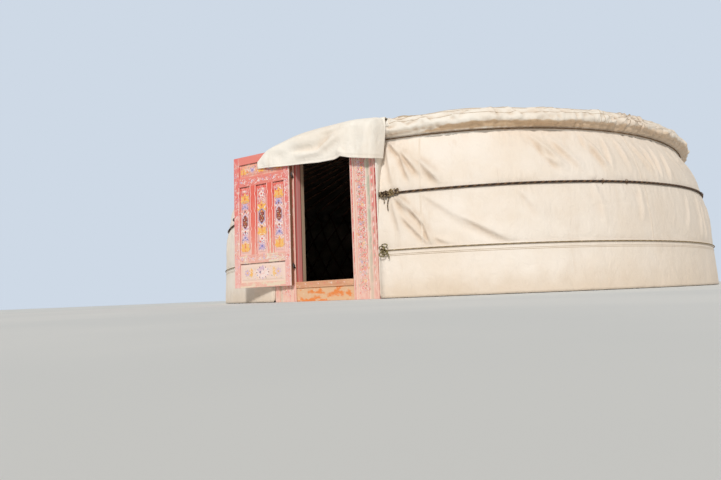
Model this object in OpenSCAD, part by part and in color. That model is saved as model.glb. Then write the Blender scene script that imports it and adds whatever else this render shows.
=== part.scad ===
// Round felt tent with a lattice wall, straight roof poles and a painted door.
// The door faces -Y, the ground is Z = 0 and the tent's axis is the Z axis.

/* [Wall] */
// Outer radius of the wall cover at the ground
foot_r = 3460; // [3300:10:3600]
// How far the wall cover leans in at the top rope
wall_lean = 245; // [200:5:260]
// Height of the top rope above the ground
top_rope_z = 1600; // [1550:5:1700]
// Thickness of the felt and canvas on the wall
wall_cover_t = 25; // [15:1:35]
// Height of the cloth skirt round the foot of the wall
skirt_h = 470; // [350:10:600]
// Thickness of the cloth skirt
skirt_t = 8; // [5:1:15]

/* [Lattice] */
// Number of lattice panels round the wall
panel_count = 6; // [6:1:6]
// Slats of each direction in one panel
slats_per_panel = 9; // [7:1:10]
// Width of a lattice slat
slat_w = 28; // [20:1:36]
// Thickness of a lattice slat
slat_t = 12; // [9:1:16]
// Height of the lowest crossing above the ground
foot_crossing_z = 70; // [50:5:100]

/* [Roof] */
// Slope of the roof in degrees
roof_slope = 20.4; // [19:0.1:21]
// Thickness of the felt and canvas on the roof
roof_cover_t = 14; // [10:1:18]
// Height of the roof cover above the top rope, over the head of the lattice
eaves_rise = 228; // [222:1:240]
// How far the shoulder of the roof cover stands out over the wall at the top rope
shoulder_bulge = 103; // [95:1:125]
// Radius of the rounding above the shoulder
shoulder_round = 150; // [130:5:160]
// Radius of the rounding below the shoulder
tuck_round = 60; // [45:1:70]
// Radius of a roof pole
pole_r = 19; // [16:1:22]
// Radius of a roof pole's tip at the crown
pole_tip_r = 15; // [12:1:16]
// Length of the taper at a roof pole's tip
pole_taper = 420; // [200:10:600]
// Roof poles that rest on the door lintel
door_poles = 4; // [3:1:5]

/* [Crown] */
// Outer radius of the crown ring where the poles meet it
crown_r = 680; // [600:10:760]
// Width of the crown ring's timber
crown_w = 80; // [60:5:100]
// Height of the crown ring's timber
crown_h = 94; // [80:2:110]
// Rise of the crown's spokes above its ring
crown_rise = 110; // [60:5:140]
// Number of spokes in the crown
spoke_count = 8; // [6:2:12]
// Width of a spoke
spoke_w = 40; // [30:2:50]
// Thickness of the folded cloth over the crown
crown_cover_t = 16; // [8:1:24]
// Distance from the axis to each corner of the folded cloth
crown_cover_reach = 1350; // [1100:10:1600]
// Radius of a crown post
post_r = 45; // [35:1:60]

/* [Door frame] */
// Clear width of the doorway
door_clear_w = 726; // [700:2:820]
// Height of the top of the threshold
sill_z = 205; // [150:5:240]
// Height of the lintel from its underside to the shelf that carries the door's roof poles
lintel_h = 74; // [60:1:90]
// Width of each jamb seen from the front
jamb_w = 294; // [240:2:300]
// How far the front of the frame is set back from the foot of the wall
frame_set = 67; // [55:1:75]
// Depth of the frame from front to back
frame_d = 120; // [100:5:140]
// How far the frame's inner lining reaches on into the room
lining_d = 54; // [30:2:90]
// How far the header board stands above the roof cover behind it
header_rise = 42; // [32:1:52]
// How far the ends of the header board's top lie below its middle
header_fall = 76; // [50:2:80]
// Thickness of the header board
header_t = 40; // [30:2:45]
// Depth of the grooves between the jamb's mouldings
groove_d = 8; // [4:1:14]

/* [Door leaf] */
// Width of the leaf from the hinge line to its free edge
leaf_w = 800; // [780:5:840]
// How far the leaf laps over the threshold
leaf_foot_lap = 33; // [15:1:60]
// How far the leaf laps over the lintel
leaf_head_lap = 26; // [15:1:40]
// Thickness of the leaf's frame
leaf_t = 42; // [36:1:48]
// Angle at which the leaf stands open
open_angle = 176; // [0:0.1:178]
// Width of the two stiles
stile_w = 80; // [60:1:90]
// Width of the two muntins
muntin_w = 88; // [60:1:100]
// Height of the top rail
top_rail_h = 90; // [70:1:100]
// Height of the middle rail
mid_rail_h = 103; // [80:1:120]
// Height of the lower rail
low_rail_h = 96; // [80:1:110]
// Height of the bottom rail
bottom_rail_h = 56; // [40:1:70]
// Height of the top panel
top_panel_h = 156; // [120:2:180]
// Height of the bottom panel
bottom_panel_h = 212; // [160:2:230]
// Thickness of a panel
panel_t = 18; // [12:1:24]
// Width of the flat border round a panel's raised field
field_margin = 20; // [12:1:30]
// Width of the bevel round a panel's raised field
field_bevel = 14; // [6:1:20]
// How far a panel's raised field stands out
field_rise = 5; // [3:1:8]

/* [Ropes and flap] */
// Diameter of the top rope and the low rope
thin_rope_d = 16; // [12:1:20]
// Diameter of the braided middle rope
thick_rope_d = 24; // [18:1:30]
// Height of the low rope
low_rope_z = 451; // [330:1:460]
// Height of the middle rope beside the door
mid_rope_front_z = 1000; // [950:5:1050]
// Height of the middle rope at the back
mid_rope_back_z = 1160; // [1050:5:1200]
// Thickness of the cloth over the door
flap_t = 10; // [6:1:14]
// Half width of the cloth over the door
flap_half_w = 800; // [760:10:840]
// How far the cloth over the door hangs below the top of the header board
flap_drop = 414; // [360:2:440]

/* [Hidden] */
$fn = 96;
// Facets of the large rings round the tent
ring_fn = 360;

// Clearance between pieces that lie against each other
fit = 0.3;
// Clearance between layers of cloth
lay = 0.6;
// Clearance of the leaf to the frame's face
leaf_gap = 5;

// Reach of a cutting shape past what it cuts
past = 400;
// Overlap that joins two shapes of one piece
bite = 1;

// Heights at which the wall's curve is bent, as shares of the top rope's height
wall_shares = [0, 0.26, 0.45, 0.6, 0.725, 0.83, 0.92];
lean_power = 3.6;
wall_top_r = foot_r - wall_lean;
wall_table = concat(
    [for (s = wall_shares) [s * top_rope_z, foot_r - wall_lean * pow(s, lean_power)]],
    [[top_rope_z, wall_top_r], [top_rope_z + past, wall_top_r]]
);
// Outer radius of the wall cover at height z
function wall_r(z) = lookup(z, wall_table);
// Points of the wall's curve from z0 to z1, moved out by off
function wall_line(off, z0, z1) = [
    for (z = concat([z0], [for (p = wall_table) if (p[0] > z0 && p[0] < z1) p[0]], [z1]))
        [wall_r(z) + off, z]
];
function reversed(list) = [for (i = [len(list) - 1:-1:0]) list[i]];
// Foot of the felt, just above the ground
felt_z0 = 30;

// The lattice stands inside the wall cover in two layers of slats
lattice_out = wall_cover_t + lay;
head_r = wall_top_r - lattice_out - slat_t;

// The roof cover's slope passes over the head of the lattice
eaves_r = head_r;
eaves_z = top_rope_z + eaves_rise;
// Height of the roof cover's outer face on the straight slope
function roof_z(r) = eaves_z + (eaves_r - r) * tan(roof_slope);
// Radius at which the straight slope has the height z
function roof_r(z) = eaves_r + (eaves_z - z) / tan(roof_slope);
pole_drop = (roof_cover_t + fit + pole_r) / cos(roof_slope);
// Height of a roof pole's axis
function pole_z(r) = roof_z(r) - pole_drop;

// Door frame
frame_front = foot_r - frame_set;
frame_back = frame_front - frame_d;
jamb_x0 = door_clear_w / 2;
jamb_x1 = jamb_x0 + jamb_w;
pole_end_gap = 14;
door_pole_end_r = frame_front - header_t - pole_end_gap;
shelf_z = pole_z(door_pole_end_r) - pole_r * cos(roof_slope) - fit;
head_z = shelf_z - lintel_h;
header_z = roof_z(frame_front - header_t) + header_rise;
// Radius of the arc along the header board's top
header_arc_r = (jamb_x1 * jamb_x1 + header_fall * header_fall) / (2 * header_fall);
lining_t = 36;
// Rounding of the frame's outer edges
arris = 6;
// The jamb's mouldings, measured from the doorway
bead_w = 34;
strip_x = 66;
band_x = 178;
edge_w = 64;
// Height of the threshold's top board and its set-back below
sill_board_h = 62;
sill_set = 14;

// The lattice starts at the outer edge of the jamb
lattice_start = asin((jamb_x1 + fit) / (foot_r - lattice_out - slat_t));
lattice_pitch = (360 - 2 * lattice_start) / (panel_count * slats_per_panel);
// Crossings lie in seven rows, three above and three below the middle one
crossing_rows = 7;
row_reach = (crossing_rows - 1) / 4 * lattice_pitch;
near_head_z = pole_z(head_r) - pole_r * 3;
head_angle = atan((near_head_z - foot_crossing_z) / (sin(row_reach) * (head_r + foot_r)));
// A pole lies in the fork above the top crossing
fork_gap = 1.6;
fork_z = slat_w / 2 / cos(head_angle) + pole_r / cos(roof_slope) / cos(head_angle)
    + slat_t * tan(roof_slope) + fork_gap;
head_crossing_z = pole_z(head_r) - fork_z;
foot_crossing_r = wall_r(foot_crossing_z) - lattice_out - slat_t;
slat_tan = (head_crossing_z - foot_crossing_z) / (sin(row_reach) * (head_r + foot_crossing_r));
slat_tilt = atan(slat_tan);
slat_mid_z = foot_crossing_z + slat_tan * foot_crossing_r * sin(row_reach);
slat_tip_z = pole_z(head_r);
slat_length = 2 * (slat_tip_z + slat_w) / sin(slat_tilt);
// Slats of the neighbours that reach into a panel
slat_margin = 3;

// Roof cover
shoulder_r = wall_top_r + shoulder_bulge;
shoulder_c = shoulder_r - shoulder_round;
tangent_r = shoulder_c + shoulder_round * sin(roof_slope);
shoulder_z = roof_z(tangent_r) - shoulder_round * cos(roof_slope);
tuck_c = shoulder_r - tuck_round;
tuck_angle = 80;
hem_r = wall_top_r + lay;
hem_drop = 22;
hem_z = top_rope_z - hem_drop;
hem_flare = wall_r(hem_z) + lay;
// Room between the crown ring and the edge of the roof cover
crown_gap = 22;
roof_inner_r = crown_r + crown_gap;
// Half width of the roof cover over the door
front_half = jamb_x1 + 15;
front_angle = asin(front_half / shoulder_r);
// How far a pole's end lies outside the lattice's middle face
pole_overhang = 17;
pole_end_r = head_r + pole_overhang;

// Crown
crown_z = pole_z(crown_r);
crown_inner_r = crown_r - crown_w;
crown_z0 = crown_z - crown_h / 2;
crown_z1 = crown_z + crown_h / 2;
ring_chamfer = 10;
// Half height of the sloping face that the poles meet
pole_face = 33;
spoke_reach = crown_inner_r - fit;
spoke_h = 44;
spoke_sink = 8;
dome_r = (spoke_reach * spoke_reach + crown_rise * crown_rise) / (2 * crown_rise);
dome_z = crown_z1 - spoke_sink + crown_rise - dome_r;
hub_r = 115;
mid_ring_r = 350;

// Crown posts
post_foot_r = post_r * 2.3;
post_foot_h = 30;
post_head_h = 110;
post_head_half = 190;
post_head_t = 60;
post_head_tip = 30;

// Folded cloth over the crown
crown_cover_rim = 14;
crown_cover_slope = 40;
crown_cover_edge = 10;

// Door leaf
leaf_z0 = sill_z - leaf_foot_lap;
leaf_z1 = head_z + leaf_head_lap;
hinge_gap = 5;
hinge_x = -(jamb_x0 + hinge_gap);
hinge_y = -(frame_front + leaf_gap + leaf_t / 2);
leaf_u0 = 12;
leaf_u1 = leaf_u0 + stile_w;
leaf_u2 = leaf_w - stile_w;
tall_panel_w = (leaf_u2 - leaf_u1 - 2 * muntin_w) / 3;
z_top_panel = leaf_z1 - top_rail_h - top_panel_h;
z_mid_rail = z_top_panel - mid_rail_h;
z_bottom_panel = leaf_z0 + bottom_rail_h;
z_low_rail = z_bottom_panel + bottom_panel_h;
z_tall = z_low_rail + low_rail_h;
low_hinge_up = 180;
high_hinge_down = 330;
hinge_heights = [leaf_z0 + low_hinge_up, leaf_z1 - high_hinge_down];
pin_r = 5;
pin_tip = 12;
eye_r = 9;
eye_h = 34;
eye_plate_t = 8;
arm_w = 12;
arm_h = 14;

// Iron hasp on the leaf's outer face
hasp_z = leaf_z0 + 793;
hasp_in = 70;
hasp_out = 45;
hasp_root = 10;
hasp_plate_h = 50;
hasp_plate_t = 4;
hasp_h = 40;
hasp_t = 6;
hasp_rim = 11;

// Cloth strips beside the frame
strip_t = 14;
strip_set = 3;
strip_depth = 160;
strip_foot_z = 0.375 * top_rope_z;
strip_head_gap = 10;
covered_x = jamb_x1 + strip_t + 2 * fit;
// Angle from the door at which a wall layer that the frame cuts starts
cut_start = 5;
// Room between neighbouring lengths of cloth, and the angle that it takes up
seam_gap = 0.4;
seam_angle = seam_gap / foot_r * 180 / PI;

// The cloth over the door hangs clear of the leaf, open and closed
flap_flare = 20;
flap_gap = 3;
flap_in = -hinge_y + leaf_t / 2 + sin(180 - open_angle) * (flap_half_w + flap_flare + hinge_x)
    + flap_gap;
// How far behind the lattice's head the cloth starts on the roof
flap_back = 78;
// Bends of the cloth in front of the header board, out from the board and down from its top
flap_nose = [26, 12];
flap_bend = [6, 60];
flap_fall = 130;
// Lower edge of the cloth: shares of its half width and of its drop
flap_hem = [
    [-1, 0.746], [-0.54, 0.836], [0.055, 0.949], [0.31, 0.964], [0.4, 0.923], [0.55, 1],
    [0.956, 1.171]
];
// Sides and shoulders of the cloth: shares of its flared half width and of its drop
flap_right = [[1, 0.398], [0.988, 0.239], [0.854, 0.109], [0.756, -0.23]];
flap_left = [[-0.463, -0.23], [-0.69, 0.109], [-1, 0.35]];

// Ropes and knots
knot_r = 18;
low_tail = 40;
mid_tail = 60;
knot_x = jamb_x1 + strip_t + lay + knot_r;
rope_start = knot_x + knot_r + lay;
strip_edge = covered_x + 2;
// Room that the tilted rope needs where the wall bellies out beside it
mid_rope_slack = 1.2;

// Turns a piece from +X to the angle a, measured from the door towards +X
module at(a) {
    rotate([0, 0, a - 90]) children();
}

// Part of the ring between two angles, from the door round
module wedge(a0, a1) {
    reach = foot_r + 2 * past;
    mid = (a0 + a1) / 2;
    linear_extrude(height = top_rope_z + past)
        polygon([
            [0, 0],
            [reach * cos(a0 - 90), reach * sin(a0 - 90)],
            [reach * cos(mid - 90), reach * sin(mid - 90)],
            [reach * cos(a1 - 90), reach * sin(a1 - 90)]
        ]);
}

// Box between two corners
module block(low, high) {
    translate(low) cube(high - low);
}

// Revolved wall layer from out to in, measured from the wall's outer curve
module wall_layer(out, inner, z0, z1, a0, a1) {
    at(a0) rotate_extrude(angle = a1 - a0, $fn = ring_fn)
        polygon(concat(wall_line(out, z0, z1), reversed(wall_line(inner, z0, z1))));
}

// Room taken by the door frame and the cloth strips beside it
module doorway_cut(half_w) {
    block([-half_w, -foot_r - past, -past], [half_w, -frame_back + past, top_rope_z + past]);
}

module slats(a0, a1, tilt) {
    first = floor((a0 - lattice_start) / lattice_pitch) - slat_margin;
    last = ceil((a1 - lattice_start) / lattice_pitch) + slat_margin;
    for (i = [first:last])
        at(lattice_start + i * lattice_pitch)
            translate([(head_r + foot_r) / 2, 0, slat_mid_z])
                rotate([tilt, 0, 0])
                    cube([2.5 * wall_lean, slat_length, slat_w], center = true);
}

module lattice_panel(k) {
    span = slats_per_panel * lattice_pitch;
    a0 = lattice_start + (k - 1) * span;
    a1 = a0 + span;
    outer = -lattice_out;
    middle = outer - slat_t;
    color("peru") difference() {
        intersection() {
            wedge(a0, a1);
            union() {
                intersection() {
                    wall_layer(outer, middle - bite, 0, slat_tip_z, a0 - 1, a1 + 1);
                    slats(a0, a1, slat_tilt);
                }
                intersection() {
                    wall_layer(middle, middle - slat_t, 0, slat_tip_z, a0 - 1, a1 + 1);
                    slats(a0, a1, -slat_tilt);
                }
            }
        }
        doorway_cut(jamb_x1 + fit);
    }
}

// Angle from the door of the seam before length k of a cloth in so many lengths
function seam_at(k, count) =
    k == 1 ? cut_start
    : k == count + 1 ? 360 - cut_start
    : front_angle + (k - 1) * (360 - 2 * front_angle) / count;

// Length k of a wall cloth, cut back beside the frame
module wall_cloth(k, count, out, inner, z0, z1) {
    a0 = seam_at(k, count) + seam_angle / 2;
    a1 = seam_at(k + 1, count) - seam_angle / 2;
    difference() {
        wall_layer(out, inner, z0, z1, a0, a1);
        doorway_cut(covered_x);
    }
}

module wall_cover(k) {
    color("antiquewhite") wall_cloth(k, 6, 0, -wall_cover_t, felt_z0, shoulder_z);
}

module skirt(k) {
    color("ivory") wall_cloth(k, 3, lay + skirt_t, lay, 0, skirt_h);
}

// Cloth that closes the gap between the frame and the leaning wall
module edge_strips() {
    x = jamb_x1 + fit;
    z0 = strip_foot_z;
    z1 = hem_z - strip_head_gap;
    color("antiquewhite")
        for (side = [0, 1]) mirror([side, 0, 0])
            difference() {
                block([x, -frame_front + strip_set, z0], [x + strip_t, -frame_back + strip_depth, z1]);
                wall_layer(lay, -past, z0 - bite, z1 + bite, cut_start, 4 * cut_start);
            }
}

module pole(a, r_out) {
    length = (r_out - crown_r - fit) / cos(roof_slope);
    at(a) translate([r_out, 0, pole_z(r_out)])
        rotate([0, roof_slope - 90, 0]) {
            cylinder(r = pole_r, h = length - pole_taper);
            translate([0, 0, length - pole_taper])
                cylinder(r1 = pole_r, r2 = pole_tip_r, h = pole_taper);
        }
}

module roof_poles(k) {
    count = panel_count * slats_per_panel;
    first = (k - 1) * count / 3;
    color("sienna")
        for (i = [first:first + count / 3 - 1])
            pole(lattice_start + (i + 0.5) * lattice_pitch, pole_end_r);
}

module door_roof_poles() {
    reach = lattice_start + lattice_pitch / 2;
    step = 2 * reach / (door_poles + 1);
    color("sienna")
        for (i = [1:door_poles])
            pole(-reach + i * step, door_pole_end_r);
}

// Outline of the roof cover: slope, shoulder, tuck and hem
module roof_profile() {
    steps = 6;
    inner_drop = roof_cover_t / cos(roof_slope);
    shoulder_outer = [
        for (i = [0:steps]) let (a = (90 - roof_slope) * (1 - i / steps))
            [shoulder_c + shoulder_round * cos(a), shoulder_z + shoulder_round * sin(a)]
    ];
    shoulder_inner = [
        for (i = [0:steps]) let (a = (90 - roof_slope) * (1 - i / steps))
            [
                shoulder_c + (shoulder_round - roof_cover_t) * cos(a),
                shoulder_z + (shoulder_round - roof_cover_t) * sin(a)
            ]
    ];
    tuck_outer = [
        for (i = [1:steps]) let (a = -tuck_angle * i / steps)
            [tuck_c + tuck_round * cos(a), shoulder_z + tuck_round * sin(a)]
    ];
    tuck_inner = [
        for (i = [1:steps]) let (a = -tuck_angle * i / steps)
            [
                tuck_c + (tuck_round - roof_cover_t) * cos(a),
                shoulder_z + (tuck_round - roof_cover_t) * sin(a)
            ]
    ];
    seat_z = shoulder_z - tuck_round;
    polygon(concat(
        [[roof_inner_r, roof_z(roof_inner_r)]],
        shoulder_outer,
        tuck_outer,
        [
            [hem_r + roof_cover_t, seat_z], [hem_r + roof_cover_t, top_rope_z],
            [hem_flare + roof_cover_t, hem_z], [hem_flare, hem_z],
            [hem_r, top_rope_z], [hem_r, seat_z + roof_cover_t]
        ],
        reversed(tuck_inner),
        reversed(shoulder_inner),
        [[roof_inner_r, roof_z(roof_inner_r) - inner_drop]]
    ));
}

module roof_cover(k) {
    span = (360 - 2 * front_angle) / 4;
    color("oldlace")
        at(front_angle + (k - 1) * span + seam_angle / 2)
            rotate_extrude(angle = span - seam_angle, $fn = ring_fn) roof_profile();
}

// The roof cover over the door runs straight on to the header board
module door_roof_cover() {
    reach = foot_r;
    drop = roof_cover_t / cos(roof_slope);
    color("oldlace") intersection() {
        at(-front_angle) rotate_extrude(angle = 2 * front_angle, $fn = ring_fn)
            polygon([
                [roof_inner_r, roof_z(roof_inner_r)],
                [reach, roof_z(reach)],
                [reach, roof_z(reach) - drop],
                [roof_inner_r, roof_z(roof_inner_r) - drop]
            ]);
        block(
            [-front_half + bite, -frame_front + header_t + fit, 0],
            [front_half - bite, 0, roof_z(0)]
        );
    }
}

module crown_ring() {
    lean = [sin(roof_slope), cos(roof_slope)];
    color("chocolate") rotate_extrude()
        polygon([
            [crown_inner_r + ring_chamfer, crown_z0],
            [crown_r - 2 * ring_chamfer, crown_z0],
            [crown_r, crown_z] - pole_face * lean,
            [crown_r, crown_z] + pole_face * lean,
            [crown_r - ring_chamfer / 2, crown_z1],
            [crown_inner_r + ring_chamfer, crown_z1],
            [crown_inner_r, crown_z1 - ring_chamfer],
            [crown_inner_r, crown_z0 + ring_chamfer]
        ]);
}

// Domed wheel of spokes, hub and middle ring inside the crown ring
module crown_spokes() {
    tall = crown_rise + 2 * past;
    color("chocolate") intersection() {
        rotate_extrude() intersection() {
            translate([0, dome_z]) difference() {
                circle(r = dome_r, $fn = ring_fn);
                circle(r = dome_r - spoke_h, $fn = ring_fn);
            }
            translate([0, dome_z]) square([spoke_reach, dome_r + bite]);
        }
        translate([0, 0, crown_z0 - past]) union() {
            cylinder(r = hub_r, h = tall);
            difference() {
                cylinder(r = mid_ring_r + spoke_w / 2, h = tall);
                translate([0, 0, -bite]) cylinder(r = mid_ring_r - spoke_w / 2, h = tall + 2 * bite);
            }
            for (i = [0:spoke_count / 2 - 1])
                rotate([0, 0, i * 360 / spoke_count])
                    translate([-crown_r, -spoke_w / 2, 0]) cube([2 * crown_r, spoke_w, tall]);
        }
    }
}

module crown_posts() {
    x = crown_r - crown_w / 2;
    half = post_head_half;
    color("indianred")
        for (side = [-1, 1]) translate([side * x, 0, 0]) {
            cylinder(r = post_foot_r, h = post_foot_h);
            cylinder(r = post_r, h = crown_z0 - post_head_h + 5 * bite, $fn = 8);
            translate([post_head_t / 2, 0, crown_z0 - fit]) rotate([90, 0, -90])
                linear_extrude(height = post_head_t)
                    polygon([
                        [-half, 0], [-half, -post_head_tip], [-post_r, -post_head_h],
                        [post_r, -post_head_h], [half, -post_head_tip], [half, 0]
                    ]);
        }
}

// Square cloth folded back over the rear half of the crown
module crown_cover() {
    steps = 6;
    // The dome's straight pieces dip below its arc, so the cloth lies a little higher
    clear = fit + lay;
    lift = clear + crown_cover_t;
    rim_r = crown_r + crown_cover_rim;
    foot_r0 = rim_r + crown_cover_slope;
    dome_line = [
        for (i = [0:steps]) let (r = spoke_reach * i / steps)
            [r, dome_z + sqrt(pow(dome_r + clear, 2) - r * r)]
    ];
    lower = concat(
        dome_line,
        [
            [crown_inner_r, crown_z1 + lay],
            [rim_r, crown_z1 + lay],
            [foot_r0, roof_z(foot_r0) + clear],
            [crown_cover_reach, roof_z(crown_cover_reach) + clear]
        ]
    );
    upper = [for (p = lower) p + [0, lift]];
    color("linen") intersection() {
        at(90) rotate_extrude(angle = 180, $fn = ring_fn) polygon(concat(lower, reversed(upper)));
        linear_extrude(height = crown_z1 + 2 * past)
            polygon([
                [-crown_cover_reach, crown_cover_edge], [crown_cover_reach, crown_cover_edge],
                [0, crown_cover_reach]
            ]);
    }
}

// Plan of a jamb with its run of mouldings in front and its lining behind
module jamb_plan() {
    g = groove_d;
    front = -frame_front;
    polygon([
        [jamb_x0, -frame_back + lining_d],
        [jamb_x0, front + arris], [jamb_x0 + arris, front],
        [jamb_x0 + bead_w, front], [jamb_x0 + bead_w, front + g],
        [jamb_x0 + strip_x, front + g], [jamb_x0 + strip_x, front],
        [jamb_x0 + band_x, front], [jamb_x0 + band_x, front + g],
        [jamb_x1 - edge_w, front + g], [jamb_x1 - edge_w, front],
        [jamb_x1 - arris, front], [jamb_x1, front + arris],
        [jamb_x1, -frame_back], [jamb_x0 + lining_t, -frame_back],
        [jamb_x0 + lining_t, -frame_back + lining_d]
    ]);
}

module right_jamb() {
    color("salmon") linear_extrude(height = head_z) jamb_plan();
}

module left_jamb() {
    color("salmon") mirror([1, 0, 0]) linear_extrude(height = head_z) jamb_plan();
}

module threshold() {
    step_z = sill_z - sill_board_h;
    color("burlywood")
        translate([-jamb_x0 + fit, 0, 0]) rotate([90, 0, 90])
            linear_extrude(height = door_clear_w - 2 * fit)
                polygon([
                    [-frame_front + sill_set, 0], [-frame_back, 0], [-frame_back, sill_z],
                    [-frame_front + arris, sill_z], [-frame_front, sill_z - arris],
                    [-frame_front, step_z], [-frame_front + sill_set, step_z]
                ]);
}

// Lintel with the header board, whose top is an arc
module lintel() {
    z0 = head_z + fit;
    color("salmon") intersection() {
        translate([-jamb_x1, 0, 0]) rotate([90, 0, 90])
            linear_extrude(height = 2 * jamb_x1)
                polygon([
                    [-frame_front, z0], [-frame_back, z0], [-frame_back, shelf_z],
                    [-frame_front + header_t, shelf_z], [-frame_front + header_t, header_z],
                    [-frame_front, header_z]
                ]);
        translate([0, 0, header_z - header_arc_r]) rotate([90, 0, 0])
            cylinder(r = header_arc_r, h = foot_r, $fn = ring_fn);
    }
}

module hinge_pins() {
    color("dimgray")
        for (z = hinge_heights) translate([hinge_x, hinge_y, z]) {
            cylinder(r = pin_r, h = arm_h + eye_h + pin_tip);
            translate([-arm_w / 2, 0, 0]) cube([arm_w, -frame_front - hinge_y, arm_h]);
        }
}

// Puts a piece drawn on the closed leaf where the open leaf is
module on_leaf() {
    translate([hinge_x, hinge_y, 0]) rotate([0, 0, -open_angle]) children();
}

module leaf_bar(u0, u1, z0, z1) {
    block([u0, -leaf_t / 2, z0], [u1, leaf_t / 2, z1]);
}

// Rail between the stiles
module leaf_rail(z0, z1) {
    leaf_bar(leaf_u1 + fit, leaf_u2 - fit, z0, z1);
}

module hinge_eyes() {
    color("dimgray") on_leaf()
        for (z = hinge_heights) translate([0, 0, z + arm_h + fit])
            difference() {
                union() {
                    cylinder(r = eye_r, h = eye_h);
                    translate([0, -eye_plate_t / 2, 0]) cube([leaf_u0, eye_plate_t, eye_h]);
                }
                translate([0, 0, -bite]) cylinder(r = pin_r + fit, h = eye_h + 2 * bite);
            }
}

module door_stiles() {
    color("salmon") on_leaf() {
        leaf_bar(leaf_u0, leaf_u1, leaf_z0, leaf_z1);
        leaf_bar(leaf_u2, leaf_w, leaf_z0, leaf_z1);
    }
}

module door_rails() {
    color("salmon") on_leaf() {
        leaf_rail(leaf_z1 - top_rail_h, leaf_z1);
        leaf_rail(z_mid_rail, z_top_panel);
        leaf_rail(z_low_rail, z_tall);
        leaf_rail(leaf_z0, z_bottom_panel);
    }
}

module door_muntins() {
    color("salmon") on_leaf()
        for (i = [1:2]) {
            u0 = leaf_u1 + i * tall_panel_w + (i - 1) * muntin_w;
            leaf_bar(u0, u0 + muntin_w, z_tall + fit, z_mid_rail - fit);
        }
}

// Section through a raised field with its bevels, from a0 to a1
module field_section(a0, a1) {
    foot = panel_t / 2;
    top = foot + field_rise;
    polygon([
        [a0, -foot], [a0 + field_bevel, -top], [a1 - field_bevel, -top], [a1, -foot],
        [a1, foot], [a1 - field_bevel, top], [a0 + field_bevel, top], [a0, foot]
    ]);
}

// Panel with a bevelled field on both faces
module raised_panel(u0, u1, z0, z1) {
    m = field_margin;
    block([u0 + fit, -panel_t / 2, z0 + fit], [u1 - fit, panel_t / 2, z1 - fit]);
    intersection() {
        translate([0, 0, z0]) linear_extrude(height = z1 - z0) field_section(u0 + m, u1 - m);
        translate([u1, 0, 0]) rotate([0, -90, 0])
            linear_extrude(height = u1 - u0) field_section(z0 + m, z1 - m);
    }
}

module door_panels() {
    color("khaki") on_leaf() {
        raised_panel(leaf_u1, leaf_u2, z_top_panel, leaf_z1 - top_rail_h);
        raised_panel(leaf_u1, leaf_u2, z_bottom_panel, z_low_rail);
        for (i = [0:2]) {
            u = leaf_u1 + i * (tall_panel_w + muntin_w);
            raised_panel(u, u + tall_panel_w, z_tall, z_mid_rail);
        }
    }
}

// Iron hasp on the leaf's outer face, past its free edge
module door_hasp() {
    face = -leaf_t / 2;
    eye_u = leaf_w + hasp_out;
    half = hasp_h / 2;
    slot = half - hasp_rim;
    color("dimgray") on_leaf() {
        block(
            [leaf_w - hasp_in, face - hasp_plate_t, hasp_z - hasp_plate_h / 2],
            [leaf_w + hasp_root, face, hasp_z + hasp_plate_h / 2]
        );
        difference() {
            union() {
                block([leaf_w + hasp_root, face - hasp_t, hasp_z - half], [eye_u, face, hasp_z + half]);
                translate([eye_u, face, hasp_z]) rotate([90, 0, 0]) cylinder(r = half, h = hasp_t);
            }
            block(
                [leaf_w + hasp_root + slot, face - hasp_t - bite, hasp_z - slot],
                [eye_u + bite, face + bite, hasp_z + slot]
            );
        }
    }
}

// Point of the hanging cloth's outline from its shares of width and drop
function flap_point(share, half_w) = [share[0] * half_w, header_z - share[1] * flap_drop];

// Cloth that runs over the header board and hangs in front of the door
module door_flap() {
    t = flap_t;
    over = header_z + lay;
    start = -(head_r - flap_back);
    start_z = roof_z(head_r - flap_back) + lay;
    rest = -roof_r(header_z);
    board = -frame_front;
    low = header_z - 1.4 * flap_drop;
    wide = 1.5 * flap_half_w;
    side = [
        [start, start_z], [rest, over], [board, over],
        [board - flap_nose[0], over - flap_nose[1]], [-flap_in + flap_bend[0], over - flap_bend[1]],
        [-flap_in, over - flap_fall], [-flap_in, low], [-flap_in - t, low],
        [-flap_in - t, over - flap_fall], [-flap_in - t + flap_bend[0], over - flap_bend[1] + t / 2],
        [board - flap_nose[0] - t / 2, over - flap_nose[1] + t], [board, over + t],
        [rest, over + t], [start, start_z + t]
    ];
    front = concat(
        [for (s = flap_hem) flap_point(s, flap_half_w)],
        [for (s = flap_right) flap_point(s, flap_half_w + flap_flare)],
        [for (s = flap_left) flap_point(s, flap_half_w + flap_flare)]
    );
    color("antiquewhite") intersection() {
        translate([-wide, 0, 0]) rotate([90, 0, 90]) linear_extrude(height = 2 * wide) polygon(side);
        translate([0, start + past, 0]) rotate([90, 0, 0])
            linear_extrude(height = flap_in + start + 2 * past) polygon(front);
    }
}

// Rope that lies round the wall, with its ends at the given distances from the middle plane
module rope_ring(r, d, right_x, left_x) {
    right = asin(right_x / r);
    left = asin(left_x / r);
    at(right) rotate_extrude(angle = 360 - right - left, $fn = ring_fn)
        translate([r, 0]) circle(d = d, $fn = 16);
}

module top_rope() {
    lean = atan((hem_flare - hem_r) / (top_rope_z - hem_z));
    r = hem_r + roof_cover_t + (fit + thin_rope_d / 2) / cos(lean);
    color("dimgray") translate([0, 0, top_rope_z]) rope_ring(r, thin_rope_d, strip_edge, strip_edge);
}

module low_rope() {
    r = wall_r(low_rope_z) + lay + skirt_t + fit + thin_rope_d / 2;
    color("dimgray") translate([0, 0, low_rope_z]) rope_ring(r, thin_rope_d, rope_start, strip_edge);
}

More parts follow.
